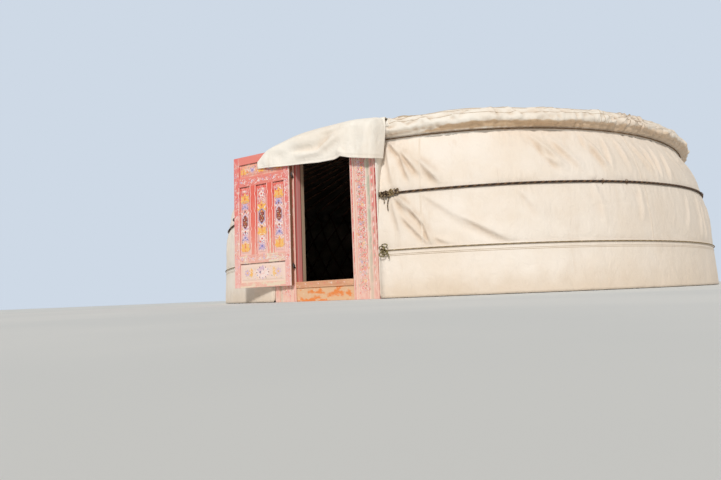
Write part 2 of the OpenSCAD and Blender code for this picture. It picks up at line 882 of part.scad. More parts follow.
module middle_rope() {
    lie = fit + thick_rope_d / 2;
    front_r = wall_r(mid_rope_front_z) + lie;
    back_r = wall_r(mid_rope_back_z) + lie;
    r = (front_r + back_r) / 2 + mid_rope_slack;
    rise = (mid_rope_back_z - mid_rope_front_z) / 2;
    color("dimgray")
        translate([0, (back_r - front_r) / 2, mid_rope_front_z + rise])
            rotate([asin(rise / r), 0, 0])
                rope_ring(r, thick_rope_d, rope_start, rope_start);
}

// Knot with a hanging tail, seated on the cloth whose outer radius is wall
module knot(wall, z, tail) {
    r = wall + lay + knot_r;
    translate([knot_x, -sqrt(r * r - knot_x * knot_x), z]) {
        sphere(r = knot_r);
        translate([0, 0, -tail]) cylinder(d = thin_rope_d, h = tail);
    }
}

module rope_knots() {
    color("dimgray") {
        knot(wall_r(low_rope_z) + lay + skirt_t, low_rope_z, low_tail);
        knot(wall_r(mid_rope_front_z), mid_rope_front_z, mid_tail);
        mirror([1, 0, 0]) knot(wall_r(mid_rope_front_z), mid_rope_front_z, mid_tail);
    }
}

threshold();
left_jamb();
right_jamb();
lintel();
hinge_pins();
door_stiles();
door_rails();
door_muntins();
door_panels();
door_hasp();
hinge_eyes();
lattice_panel(1);  // lattice_1
lattice_panel(2);  // lattice_2
lattice_panel(3);  // lattice_3
lattice_panel(4);  // lattice_4
lattice_panel(5);  // lattice_5
lattice_panel(6);  // lattice_6
wall_cover(1);  // wall_cover_1
wall_cover(2);  // wall_cover_2
wall_cover(3);  // wall_cover_3
wall_cover(4);  // wall_cover_4
wall_cover(5);  // wall_cover_5
wall_cover(6);  // wall_cover_6
skirt(1);  // skirt_1
skirt(2);  // skirt_2
skirt(3);  // skirt_3
roof_poles(1);  // roof_poles_1
roof_poles(2);  // roof_poles_2
roof_poles(3);  // roof_poles_3
door_roof_poles();
crown_ring();
crown_spokes();
crown_posts();
crown_cover();
roof_cover(1);  // roof_cover_1
roof_cover(2);  // roof_cover_2
roof_cover(3);  // roof_cover_3
roof_cover(4);  // roof_cover_4
door_roof_cover();
door_flap();
edge_strips();
top_rope();
middle_rope();
low_rope();
rope_knots();
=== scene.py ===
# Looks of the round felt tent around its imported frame.
# Metres, +Z up, the door faces -Y and the tent's axis is the Z axis.
import math

import bmesh
import bpy
import numpy as np
from mathutils import Matrix, Vector


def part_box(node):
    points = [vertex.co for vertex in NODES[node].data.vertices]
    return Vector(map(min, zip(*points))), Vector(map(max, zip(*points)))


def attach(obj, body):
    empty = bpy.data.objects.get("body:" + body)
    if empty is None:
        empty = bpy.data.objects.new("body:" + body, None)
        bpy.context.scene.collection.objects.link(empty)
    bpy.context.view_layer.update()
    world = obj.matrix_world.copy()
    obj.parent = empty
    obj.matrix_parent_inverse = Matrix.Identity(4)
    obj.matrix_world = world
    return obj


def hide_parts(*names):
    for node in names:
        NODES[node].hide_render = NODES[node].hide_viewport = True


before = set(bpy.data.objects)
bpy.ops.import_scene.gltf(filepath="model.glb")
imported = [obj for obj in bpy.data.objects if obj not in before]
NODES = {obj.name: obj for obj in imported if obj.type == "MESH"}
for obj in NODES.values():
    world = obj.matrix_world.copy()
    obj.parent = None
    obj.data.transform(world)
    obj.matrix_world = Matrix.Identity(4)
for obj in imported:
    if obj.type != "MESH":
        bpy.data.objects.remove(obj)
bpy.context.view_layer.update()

# Sizes of the wall, the roof and the door, as in the part's source
FOOT_R = 3.460
WALL_LEAN = 0.245
LEAN_POWER = 3.6
TOP_ROPE_Z = 1.600
LOW_ROPE_Z = 0.451
MID_FRONT_Z = 1.000
MID_BACK_Z = 1.160
SKIRT_TOP = 0.470
ROOF_SLOPE = math.radians(20.4)
ROOF_TAN = math.tan(ROOF_SLOPE)
WALL_TOP_R = FOOT_R - WALL_LEAN
LATTICE_HEAD_R = WALL_TOP_R - 0.0376
EAVES_Z = TOP_ROPE_Z + 0.228
SHOULDER_R = WALL_TOP_R + 0.103
SHOULDER_ROUND = 0.150
TUCK_ROUND = 0.060
TUCK_ANGLE = math.radians(80)
HEM_R = WALL_TOP_R + 0.0146
HEM_Z = TOP_ROPE_Z - 0.022
ROOF_INNER_R = 0.702
JAMB_IN = 0.363
COVERED_X = 0.672
FRAME_FRONT = 3.393
FRAME_BACK = 3.273
LINING_BACK = 3.219
SILL_Z = 0.205
LEAF_T = 0.042
LEAF_W = 0.800
LEAF_U0 = 0.012
STILE_W = 0.080
MUNTIN_W = 0.088
TOP_RAIL_W = 0.090
TOP_PANEL_H = 0.156
PANEL_FACE = 0.014
HINGE = Vector((-0.368, -3.419, 0))
OPEN_ANGLE = math.radians(176)
LEAF_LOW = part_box("door_stiles")[0].z
LEAF_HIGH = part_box("door_stiles")[1].z
Z_TOP_PANEL = LEAF_HIGH - TOP_RAIL_W - TOP_PANEL_H
Z_MID_RAIL = Z_TOP_PANEL - 0.103
Z_BOTTOM_PANEL = LEAF_LOW + 0.056
Z_LOW_RAIL = Z_BOTTOM_PANEL + 0.212
Z_TALL = Z_LOW_RAIL + 0.096
LEAF_U1 = LEAF_U0 + STILE_W
LEAF_U2 = LEAF_W - STILE_W
TALL_PANEL_W = (LEAF_U2 - LEAF_U1 - 2 * MUNTIN_W) / 3

# Camera at the photograph's viewing angle
CAMERA_PLACE = Vector((2.967, -7.379, 0.040))
CAMERA_RIGHT = Vector((0.84375, 0.53527, -0.03976))
CAMERA_UP = Vector((0.09402, -0.07445, 0.99278))
CAMERA_AHEAD = Vector((-0.52844, 0.84140, 0.11314))
FOCAL_PX = 485
PHOTO_W = 721
SENSOR_MM = 36


def make_camera():
    data = bpy.data.cameras.new("camera")
    data.sensor_width = SENSOR_MM
    data.lens = SENSOR_MM * FOCAL_PX / PHOTO_W
    data.clip_end = 200
    camera = bpy.data.objects.new("camera", data)
    bpy.context.scene.collection.objects.link(camera)
    turn = Matrix((CAMERA_RIGHT, CAMERA_UP, -CAMERA_AHEAD)).transposed().to_4x4()
    camera.matrix_world = Matrix.Translation(CAMERA_PLACE) @ turn
    bpy.context.scene.camera = camera


def linear(red, green, blue):
    """Colour for a shader from the values 0 to 255 of a screen."""
    values = []
    for value in (red, green, blue):
        share = value / 255
        values.append(share / 12.92 if share <= 0.04045 else ((share + 0.055) / 1.055) ** 2.4)
    return (*values, 1.0)


class Tree:
    """A material's node tree with short calls for the nodes that repeat."""

    def __init__(self, name, roughness):
        self.material = bpy.data.materials.new(name)
        self.material.use_nodes = True
        self.nodes = self.material.node_tree.nodes
        self.links = self.material.node_tree.links
        self.shader = self.nodes["Principled BSDF"]
        self.shader.inputs["Roughness"].default_value = roughness
        self.place = self.nodes.new("ShaderNodeTexCoord").outputs["Object"]

    def join(self, source, target):
        if isinstance(source, (int, float, tuple)):
            target.default_value = source
        else:
            self.links.new(source, target)

    def node(self, kind, output, inputs, **settings):
        """Adds a node with its settings and inputs, and returns one of its outputs."""
        node = self.nodes.new(f"ShaderNode{kind}")
        for name, value in settings.items():
            setattr(node, name, value)
        for name, value in inputs.items():
            self.join(value, node.inputs[name])
        return node.outputs[output]

    def stretch(self, scale, turn=(0, 0, 0)):
        return self.node("Mapping", "Vector", {"Scale": scale, "Rotation": turn, "Vector": self.place})

    def noise(self, scale, detail=4, rough=0.55, place=None, distortion=0.0):
        return self.node("TexNoise", "Fac", {
            "Scale": scale, "Detail": detail, "Roughness": rough, "Distortion": distortion,
            "Vector": place or self.place
        })

    def waves(self, scale, direction, place=None):
        inputs = {"Scale": scale, "Vector": place or self.place}
        return self.node("TexWave", "Fac", inputs, bands_direction=direction)

    def cells(self, scale, place):
        return self.node("TexVoronoi", "Distance", {"Scale": scale, "Vector": place})

    def axis(self, name):
        return self.node("SeparateXYZ", name, {0: self.place})

    def painted(self, name):
        """Value that the mesh code stored at each point."""
        return self.node("Attribute", "Fac", {}, attribute_name=name)

    def math(self, operation, first, second=0.0):
        return self.node("Math", 0, {0: first, 1: second}, operation=operation)

    def add(self, first, second):
        return self.math("ADD", first, second)

    def times(self, first, second):
        return self.math("MULTIPLY", first, second)

    def level(self, value, low, high, out_low=0.0, out_high=1.0, kind="SMOOTHSTEP"):
        """Value turned into a share that runs smoothly from low to high."""
        return self.node("MapRange", "Result", {
            "From Min": low, "From Max": high, "To Min": out_low, "To Max": out_high, "Value": value
        }, interpolation_type=kind)

    def ramp(self, value, low, high):
        return self.level(value, low, high, kind="LINEAR")

    def mix(self, share, first, second):
        return self.node("Mix", "Result", {"Factor": share, "A": first, "B": second}, data_type="RGBA")

    def stain(self, base, colour, value, low, high, most=1.0):
        """Lays a colour over the base where the value passes from low to high."""
        return self.mix(self.level(value, low, high, 0, most), base, colour)

    def bands(self, value, low, high, stops, kind="CONSTANT"):
        """Colour bands along a value from low to high: stops are (value, colour)."""
        node = self.nodes.new("ShaderNodeValToRGB")
        ramp = node.color_ramp
        ramp.interpolation = kind
        ramp.elements.remove(ramp.elements[-1])
        ramp.elements[0].color = stops[0][1]
        for place, colour in stops[1:]:
            ramp.elements.new((place - low) / (high - low)).color = colour
        self.links.new(self.ramp(value, low, high), node.inputs["Fac"])
        return node.outputs["Color"]

    def bump(self, height, strength, distance, normal=None):
        inputs = {"Strength": strength, "Distance": distance, "Height": height}
        if normal is not None:
            inputs["Normal"] = normal
        return self.node("Bump", "Normal", inputs)

    def finish(self, colour, normal=None, roughness=None):
        for name, source in (("Base Color", colour), ("Normal", normal), ("Roughness", roughness)):
            if source is not None:
                self.join(source, self.shader.inputs[name])
        return self.material


# Materials

CREAM = linear(246, 236, 225)
CREAM_DULL = linear(240, 226, 210)
CREAM_STAIN = linear(212, 190, 164)
ROOF_CREAM = linear(251, 245, 235)
ROOF_SHADE = linear(208, 174, 134)
# Colours of the painted shade in the hollows of the folds
CREASE_SHADE_TAN = linear(206, 176, 144)
CREASE_SHADE_DARK = linear(150, 122, 94)
# Colour of the painted shade toward the tent's right side
RIGHT_SIDE_SHADE = linear(220, 205, 188)
CORAL = linear(226, 92, 80)
SALMON = linear(234, 142, 128)
PALE_PINK = linear(236, 184, 168)
BLEACHED = linear(233, 214, 190)
BAND_PINK = linear(232, 156, 148)
GREY_GREEN = linear(186, 186, 166)
PAINT_WHITE = linear(240, 232, 222)
WOOD_BROWN = linear(112, 74, 46)
WOOD_DARK = linear(66, 42, 28)
FELT_GREY = linear(150, 138, 124)
# Share of the painted crease shade where the cloth is most hollow
CREASE_SHARE = 0.5


def cloth_material(name, colour, dull=CREAM_DULL, foot_dirt=False, shoulder_shade=False):
    """Canvas with stains, painted shade in its creases, below the roof's shoulder and toward the right
    side, and a woven, crushed surface.
    """
    tree = Tree(name, 0.88)
    tree.shader.inputs["Sheen Weight"].default_value = 0.12
    base = tree.stain(colour, dull, tree.noise(1.6, 5, 0.6), 0.35, 0.72)
    streaks = tree.noise(3.0, 5, 0.6, tree.stretch((2.2, 2.2, 0.35)))
    base = tree.stain(base, CREAM_STAIN, streaks, 0.56, 0.82, 0.45)
    if foot_dirt:
        height = tree.add(tree.axis("Z"), tree.times(tree.noise(7), -0.22))
        base = tree.stain(base, CREAM_STAIN, height, 0.20, -0.12, 0.55)
    # Painted shade on the underside of the roof's shoulder, wavy at its top; the hem strip below the tuck
    # stays cream
    if shoulder_shade:
        wave = tree.add(tree.noise(1.5), tree.times(tree.noise(6, 3), 0.35))
        side = tree.level(tree.math("ABSOLUTE", tree.axis("X")), 1.75, 0.75, 0, 0.075)
        height = tree.add(tree.add(tree.axis("Z"), side), tree.times(wave, 0.12))
        share = tree.times(tree.level(height, 1.752, 1.736), tree.level(tree.axis("Z"), 1.606, 1.620))
        base = tree.mix(tree.times(share, 0.85), base, ROOF_SHADE)
    # Painted shade in the hollows of the folds: tan, darker in the deepest, patchy
    crease_shade_share = tree.times(tree.painted("crease"), tree.level(tree.noise(14), 0.2, 0.6, 0.6, 1))
    base = tree.mix(tree.ramp(crease_shade_share, 0.0, 1 / CREASE_SHARE), base, CREASE_SHADE_TAN)
    base = tree.stain(base, CREASE_SHADE_DARK, crease_shade_share, 0.7, 1.0, 0.12)
    # Painted shade toward the right side of the tent (+X), broken up by the streaks
    base = tree.stain(base, RIGHT_SIDE_SHADE, tree.add(tree.axis("X"), streaks), 2.1, 4.2, 0.7)
    normal = tree.bump(tree.noise(9, 6, 0.62, tree.stretch((1, 1, 0.75)), 0.9), 0.75, 0.016)
    crushed = tree.cells(16, tree.stretch((1, 1, 0.7), (0.4, 0.3, 0.2)))
    normal = tree.bump(tree.level(crushed, 0.0, 0.7), 0.22, 0.006, normal)
    normal = tree.bump(tree.noise(46, 4, 0.6), 0.25, 0.002, normal)
    weave = tree.add(tree.waves(420, "DIAGONAL", tree.stretch((1, 1, 0))), tree.waves(420, "Z"))
    return tree.finish(base, tree.bump(weave, 0.18, 0.0006, normal))


def felt_material():
    tree = Tree("felt", 0.95)
    colour = tree.stain(FELT_GREY, linear(110, 98, 86), tree.noise(4, 6, 0.65), 0.3, 0.7)
    return tree.finish(colour, tree.bump(tree.noise(90, 5, 0.7), 0.6, 0.004))


def wood_grain(tree, along):
    """Stretched noise that runs along one axis, from 0 to 1."""
    thin, long = 34, 1.6
    scale = {"X": (long, thin, thin), "Y": (thin, long, thin), "Z": (thin, thin, long)}[along]
    return tree.noise(1.0, 6, 0.62, tree.stretch(scale), 0.8)


def flaked(tree, wear):
    """A measure of wear with fine flakes added."""
    return tree.add(wear, tree.times(tree.noise(38, 4, 0.7), 0.35))


def painted_wood(tree, colour, grain, bare, depth=0.4, gloss=0.5):
    """Ends a material: bumps along the grain, and bare wood rougher than paint."""
    return tree.finish(colour, tree.bump(grain, depth, 0.0016), tree.level(bare, 0, 1, gloss, 0.85))


def worn_paint(name, strong, faded, bare, along, fade_low, fade_high):
    """Old paint over wood: strong above, faded below, flaked down to the bare wood."""
    tree = Tree(name, 0.62)
    grain = wood_grain(tree, along)
    cloud = tree.noise(5.5, 5, 0.6)
    height = tree.add(tree.axis("Z"), tree.times(cloud, 0.5))
    fade = tree.level(height, fade_low + 0.25, fade_high + 0.25, 1.0, 0.0)
    fade = tree.add(fade, tree.level(cloud, 0.45, 0.75, 0.0, 0.5))
    paint = tree.stain(strong, faded, fade, 0.0, 1.3)
    paint = tree.stain(paint, faded, grain, 0.52, 0.72, 0.35)
    share = tree.level(flaked(tree, tree.add(tree.times(fade, 0.22), grain)), 0.87, 0.96)
    normal = tree.bump(share, 0.4, 0.0006, tree.bump(grain, 0.35, 0.0016))
    return tree.finish(tree.mix(share, paint, bare), normal, tree.level(share, 0, 1, 0.5, 0.85))


def panel_material():
    """Panels: strong paint above, bleached below, and a painted shadow in the corner under each rail."""
    tree = Tree("panel_paint", 0.62)
    grain = wood_grain(tree, "Z")

    def under_rail(z, *colour):
        """Stops of the paint below a rail that starts at z, and of the painted shadow in its corner."""
        rail_shadow = linear(92, 46, 38)
        return [(z - 0.013, linear(*colour)), (z - 0.008, rail_shadow), (z + 0.002, rail_shadow)]

    paint = tree.bands(tree.axis("Z"), LEAF_LOW, LEAF_HIGH, [
        (LEAF_LOW, linear(238, 214, 198)), *under_rail(Z_LOW_RAIL, 238, 212, 200),
        (Z_TALL, linear(238, 194, 186)), (Z_TALL + 0.25, linear(236, 164, 156)),
        (Z_TALL + 0.55, linear(233, 130, 120)), *under_rail(Z_MID_RAIL, 228, 94, 82),
        (Z_TOP_PANEL, linear(236, 152, 136)), *under_rail(LEAF_HIGH - TOP_RAIL_W, 236, 158, 132)
    ], "LINEAR")
    paint = tree.stain(paint, linear(244, 212, 204), tree.noise(34, 5, 0.7), 0.50, 0.62, 0.5)
    paint = tree.stain(paint, BLEACHED, tree.noise(6, 5, 0.6), 0.42, 0.78, 0.5)
    bare = tree.level(flaked(tree, grain), 0.86, 0.97)
    return painted_wood(tree, tree.mix(bare, paint, linear(226, 196, 170)), grain, bare, 0.35)


def stile_material():
    """Uprights of the leaf; the edge at the hinge is painted brown as the shade of the gap there."""
    tree = Tree("leaf_paint_upright", 0.62)
    grain = wood_grain(tree, "Z")
    cloud = tree.noise(5.5, 5, 0.6)
    fade = tree.level(tree.add(tree.axis("Z"), tree.times(cloud, 0.5)), 0.55, 1.5, 1.0, 0.0)
    mottle = tree.noise(30, 5, 0.7, tree.stretch((1, 1, 0.5)))
    paint = tree.mix(fade, linear(232, 122, 116), linear(238, 180, 172))
    paint = tree.stain(paint, linear(242, 208, 200), mottle, 0.50, 0.64, 0.6)
    paint = tree.stain(paint, BLEACHED, cloud, 0.5, 0.8, 0.5)
    bare = tree.level(tree.add(flaked(tree, grain), tree.times(fade, 0.12)), 0.88, 0.98)
    colour = tree.mix(bare, paint, BLEACHED)
    line = tree.ramp(tree.axis("X"), HINGE.x - 0.034, HINGE.x - 0.031)
    line = tree.times(line, tree.level(mottle, 0.36, 0.56, 0.9, 0.35))
    colour = tree.mix(line, colour, PAINT_WHITE)
    # Painted shade: a brown strip on the edge at the hinge
    edge = tree.ramp(tree.axis("X"), HINGE.x - 0.0152, HINGE.x - 0.0140)
    return painted_wood(tree, tree.mix(edge, colour, linear(150, 102, 76)), grain, bare)


def bare_wood(name, light, dark, along):
    tree = Tree(name, 0.72)
    grain = wood_grain(tree, along)
    colour = tree.stain(light, dark, grain, 0.35, 0.68)
    colour = tree.stain(colour, dark, tree.noise(6), 0.55, 0.8, 0.5)
    return tree.finish(colour, tree.bump(grain, 0.5, 0.002))


def jamb_material():
    """Painted bands across a jamb, worn along the grain, and bands on its inner side, two of which are
    painted shade.
    """
    tree = Tree("jamb_paint", 0.6)
    grain = wood_grain(tree, "Z")
    wobble = tree.times(tree.math("SUBTRACT", tree.noise(9, 3), 0.5), 0.006)
    aside = tree.math("ABSOLUTE", tree.axis("X"))
    paint = tree.bands(tree.add(aside, wobble), 0.35, 0.67, [
        (0.350, PALE_PINK), (0.378, linear(222, 84, 84)), (0.392, PAINT_WHITE), (0.400, PALE_PINK),
        (0.424, PAINT_WHITE), (0.433, BAND_PINK), (0.541, PAINT_WHITE), (0.549, linear(214, 208, 188)),
        (0.562, GREY_GREEN), (0.590, PALE_PINK), (0.606, linear(226, 134, 128)), (0.634, PALE_PINK),
        (0.648, linear(176, 44, 46))
    ])
    cloud = tree.noise(5, 5, 0.6)
    mottle = tree.noise(26, 5, 0.7, tree.stretch((1, 1, 0.45)))
    paint = tree.stain(paint, linear(240, 212, 200), mottle, 0.47, 0.62, 0.7)
    paint = tree.stain(paint, BLEACHED, cloud, 0.45, 0.8, 0.35)
    paint = tree.stain(paint, linear(236, 200, 182), tree.add(tree.axis("Z"), cloud), 1.35, 0.55, 0.55)
    bare = tree.level(tree.add(grain, tree.times(tree.noise(60, 3, 0.7), 0.4)), 0.86, 0.97)
    colour = tree.mix(bare, paint, linear(214, 178, 146))
    depth = tree.times(tree.axis("Y"), -1)
    # Inner side, from the lining to the front: the dark band where the jamb meets the lining and the brown
    # band at the front edge are painted shade of the rebate and of the gap at the hinge
    side = tree.bands(depth, LINING_BACK, FRAME_FRONT + 0.007, [
        (LINING_BACK, linear(255, 248, 238)), (3.254, linear(250, 222, 200)), (3.266, WOOD_DARK),
        (3.277, linear(214, 84, 84)), (3.284, linear(255, 168, 162)), (3.336, linear(255, 214, 206)),
        (3.346, linear(255, 142, 138)), (3.370, linear(190, 66, 66)), (3.380, linear(190, 142, 114))
    ])
    inner = tree.level(aside, JAMB_IN + 0.0002, JAMB_IN + 0.0006, 1.0, 0.0)
    colour = tree.mix(inner, colour, side)
    behind = tree.ramp(depth, FRAME_BACK - 0.00072, FRAME_BACK - 0.00036)
    colour = tree.mix(behind, linear(214, 188, 160), colour)
    return painted_wood(tree, colour, grain, bare, gloss=0.52)


def sill_material():
    tree = Tree("sill_paint", 0.66)
    grain = wood_grain(tree, "X")
    board = tree.stain(linear(226, 176, 138), linear(202, 140, 108), grain, 0.4, 0.7)
    patches = tree.noise(9, 3, 0.5, tree.stretch((1.2, 1, 2.2)))
    strip = tree.stain(linear(226, 186, 148), linear(232, 138, 72), patches, 0.47, 0.60)
    low = tree.level(tree.axis("Z"), SILL_Z - 0.066, SILL_Z - 0.060, 1.0, 0.0)
    colour = tree.stain(tree.mix(low, board, strip), BLEACHED, tree.noise(34), 0.58, 0.72, 0.6)
    return tree.finish(colour, tree.bump(grain, 0.5, 0.002))


def ornament_material(name, colour, fade):
    """Thin old paint: it has gone pale in patches and lets the ground show."""
    tree = Tree(name, 0.6)
    cloud = tree.noise(46, 4, 0.65)
    low = tree.level(tree.add(tree.axis("Z"), tree.noise(5, 3)), 1.15, 0.7, 0.0, 0.4)
    share = tree.add(tree.level(cloud, 0.42, 0.64, 0.08, 0.75), low)
    return tree.finish(tree.mix(share, colour, fade), tree.bump(cloud, 0.25, 0.0006))


def rope_material(name, light, dark):
    tree = Tree(name, 0.9)
    fibres = tree.noise(60, 5, 0.7)
    colour = tree.stain(light, dark, fibres, 0.3, 0.7)
    colour = tree.stain(colour, linear(112, 90, 64), tree.noise(2.3, 4, 0.6), 0.45, 0.7, 0.3)
    return tree.finish(colour, tree.bump(fibres, 0.7, 0.002))


def iron_material():
    tree = Tree("iron", 0.45)
    tree.shader.inputs["Metallic"].default_value = 0.85
    rust = tree.level(tree.noise(55, 5, 0.7), 0.5, 0.66)
    colour = tree.mix(rust, linear(92, 86, 84), linear(84, 58, 44))
    return tree.finish(colour, tree.bump(tree.noise(120), 0.3, 0.001), tree.level(rust, 0, 1, 0.36, 0.85))


# Mesh helpers


def add_object(name, mesh, material, body, slot, smooth=True):
    for polygon in mesh.polygons:
        polygon.use_smooth = smooth
    mesh.materials.append(material)
    piece = bpy.data.objects.new(name, mesh)
    bpy.context.scene.collection.objects.link(piece)
    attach(piece, body)
    return piece


def grid_mesh(name, points, closed=False):
    """Mesh from rows by columns of points; closed joins the last column to the first."""
    rows, columns = points.shape[:2]
    index = np.arange(rows * columns).reshape(rows, columns)
    right = np.roll(index, -1, axis=1)
    last = columns if closed else columns - 1
    faces = np.stack(
        [index[:-1, :last], right[:-1, :last], right[1:, :last], index[1:, :last]], axis=-1
    )
    mesh = bpy.data.meshes.new(name)
    mesh.from_pydata(points.reshape(-1, 3).tolist(), [], faces.reshape(-1, 4).tolist())
    mesh.update()
    return mesh


def add_grid(name, points, material, slot="canvas"):
    return add_object(name, grid_mesh(name, points), material, "yurt", slot)


def blurred(values, passes):
    """Smooths a grid; each pass mixes every point with its neighbours along both axes."""
    for _ in range(2 * passes):
        edged = np.pad(values, ((1, 1), (0, 0)), mode="edge")
        values = (0.5 * values + 0.25 * edged[2:] + 0.25 * edged[:-2]).T
    return values


SHARPEST_BEND = 46.0


def store_creases(mesh, height, across, along):
    """Stores at each point how hollow the cloth is there, from 0 to 1; the cloth materials paint shade from
    it.
    """
    bend = np.gradient(np.gradient(height, across, axis=1), across, axis=1)
    bend += np.gradient(np.gradient(height, along, axis=0), along, axis=0)
    hollow = np.clip(bend / SHARPEST_BEND - 0.10, 0, 1.2)
    value = np.clip(0.75 * blurred(hollow, 2) + 1.1 * blurred(hollow, 14), 0, 1)
    layer = mesh.attributes.new(name="crease", type="FLOAT", domain="POINT")
    layer.data.foreach_set("value", value.astype(np.float32).ravel())


def thicken(piece, thickness, offset=-1.0):
    solid = piece.modifiers.new("cloth thickness", "SOLIDIFY")
    solid.thickness = thickness
    solid.offset = offset
    solid.use_quality_normals = True


def polar(angle, radius, z):
    """Points round the tent's axis; angle in degrees from the door towards +X."""
    turn = np.radians(angle)
    return np.stack(np.broadcast_arrays(radius * np.sin(turn), -radius * np.cos(turn), z), axis=-1)


def smooth_step(value, low, high):
    share = np.clip((value - low) / (high - low), 0, 1)
    return share * share * (3 - 2 * share)


def bell(value, width):
    return np.exp(-((value / width) ** 2))


def sines(value, count, low, high, rng):
    """Sum of sines of random pitch and phase, about from -1 to 1."""
    total = np.zeros_like(value, dtype=float)
    for _ in range(count):
        total += np.sin(value * rng.uniform(low, high) + rng.uniform(0, 2 * math.pi))
    return total / math.sqrt(count)


def strip_section(half, inner, low, high):
    """Places across a narrow strip, raised within inner of its middle, and how far each stands out."""
    return np.array([-half, -inner, inner, half]), np.array([-low, high, high, -low])


# Wall: one continuous surface, pressed in by the ropes and pulled into folds

CLOTH_FOOT_Z = 0.045
CLOTH_HEAD_Z = 1.655
WALL_SEAMS = [18.1, 56.4, 100, 145, 190, 235, 280, 325]
FOLD_STRENGTH = 2.0


def wall_r(z):
    return FOOT_R - WALL_LEAN * np.clip(np.asarray(z) / TOP_ROPE_Z, 0, 1) ** LEAN_POWER


def mid_rope_z(angle):
    middle = (MID_FRONT_Z + MID_BACK_Z) / 2
    return middle - (MID_BACK_Z - MID_FRONT_Z) / 2 * np.cos(np.radians(angle))


# Folds that show in the photograph, as angle and height of both ends, width and depth
SEEN_FOLDS = [
    (12.4, 1.57, 14.9, 1.38, 0.012, 0.013), (14.6, 1.41, 16.4, 1.13, 0.014, 0.015),
    (15.2, 1.41, 17.6, 1.20, 0.012, 0.009), (18.0, 1.32, 20.9, 1.10, 0.016, 0.012),
    (12.8, 1.56, 20.6, 1.10, 0.030, 0.010), (14.3, 0.97, 16.9, 0.79, 0.011, 0.013),
    (16.6, 0.81, 18.5, 0.66, 0.011, 0.014), (18.3, 0.68, 19.6, 0.47, 0.012, 0.012),
    (15.0, 0.76, 19.3, 0.465, 0.011, 0.010),
    (12.1, 1.52, 13.9, 1.05, 0.020, 0.011), (17.4, 1.34, 21.2, 1.08, 0.022, 0.009),
    (14.8, 1.45, 18.3, 1.16, 0.016, 0.009), (13.9, 0.96, 16.2, 0.80, 0.018, 0.014),
    (13.4, 0.94, 14.9, 0.60, 0.020, 0.010), (18.6, 0.95, 25.5, 0.66, 0.034, 0.009),
    (24.4, 0.71, 31.8, 0.47, 0.026, 0.014), (20.2, 0.54, 23.0, 0.45, 0.018, 0.009),
    (36.4, 1.54, 39.6, 1.31, 0.022, 0.009), (37.6, 1.46, 38.8, 1.28, 0.016, 0.007),
    (38.6, 1.28, 40.6, 1.18, 0.018, 0.009), (38.3, 1.42, 41.4, 1.16, 0.024, 0.009),
    (40.4, 1.46, 45.0, 1.12, 0.024, 0.012), (47.2, 1.44, 49.4, 1.15, 0.018, 0.014),
    (46.2, 1.54, 46.8, 1.36, 0.016, 0.008), (50.6, 1.50, 50.2, 1.14, 0.018, 0.008),
    (53.2, 1.52, 54.6, 1.16, 0.020, 0.009), (57.0, 1.48, 60.8, 1.12, 0.018, 0.011),
    (60.4, 1.46, 61.2, 1.12, 0.016, 0.011), (63.0, 1.46, 62.6, 1.12, 0.016, 0.010),
    (66.0, 1.44, 65.4, 1.10, 0.018, 0.009), (33.0, 0.96, 36.5, 0.70, 0.030, 0.006),
    (46.0, 0.98, 47.0, 0.62, 0.024, 0.007), (55.0, 0.98, 54.6, 0.66, 0.022, 0.007)
]


def random_folds():
    """Folds for the rest of the wall: drags that lean one way for a stretch, all the way round."""
    rng = np.random.default_rng(17)
    folds = []
    for low, high, turn in ((0.48, 1.0, 0.4), (1.12, 1.56, 2.1)):
        angle = 69.0
        while angle < 346:
            lean = 3.6 * math.sin(math.radians(angle) * 4.3 + turn) + rng.uniform(-1.0, 1.0)
            top = high - rng.uniform(0, 0.10)
            end = low + rng.uniform(-0.02, 0.22)
            middle = top + (end - top) * rng.uniform(0.4, 0.6)
            bend = angle + lean * rng.uniform(0.25, 0.45)
            width, depth = rng.uniform(0.018, 0.036), rng.uniform(0.003, 0.008)
            folds.append((angle, top, bend, middle, 0.8 * width, depth))
            folds.append((bend - 0.1 * lean, middle + 0.03, angle + lean, end, width, depth))
            angle += rng.uniform(2.4, 7.0)
    return folds


def along_fold(s, z, s0, z0, s1, z1):
    """Share of the way along a fold, and distance from its line."""
    length = math.hypot(s1 - s0, z1 - z0)
    along_s, along_z = (s1 - s0) / length, (z1 - z0) / length
    ds, dz = s - s0, z - z0
    return (ds * along_s + dz * along_z) / length, dz * along_s - ds * along_z


def fold_height(angle, z, folds):
    """Height of folds: each is a ridge with a hollow beside it, tapered to both ends."""
    arc = np.radians(angle) * FOOT_R
    total = np.zeros_like(arc)
    for a0, z0, a1, z1, width, depth in folds:
        s0, s1 = math.radians(a0) * FOOT_R, math.radians(a1) * FOOT_R
        near = (arc > min(s0, s1) - 7 * width) & (arc < max(s0, s1) + 7 * width)
        if not near.any():
            continue
        share, off = along_fold(arc[near], z[near], s0, z0, s1, z1)
        spread = np.where(off > 0, width * 2.3, width * 0.8) * (0.55 + 0.8 * np.clip(share, 0, 1))
        taper = smooth_step(share, -0.2, 0.3) * smooth_step(-share, -1.25, -0.6)
        ridge = bell(off, spread) - 0.35 * bell(off + 2.6 * width, 1.5 * width)
        total[near] += FOLD_STRENGTH * depth * taper * ridge
    return total


WALL_FOLDS = SEEN_FOLDS + random_folds()
GATHER_RNG = np.random.default_rng(5)
# Small gathers at the ropes: angle, width in degrees and height
ROPE_GATHERS = [
    (GATHER_RNG.uniform(11, 349), GATHER_RNG.uniform(0.14, 0.42), GATHER_RNG.uniform(0.4, 1.3))
    for _ in range(330)
]


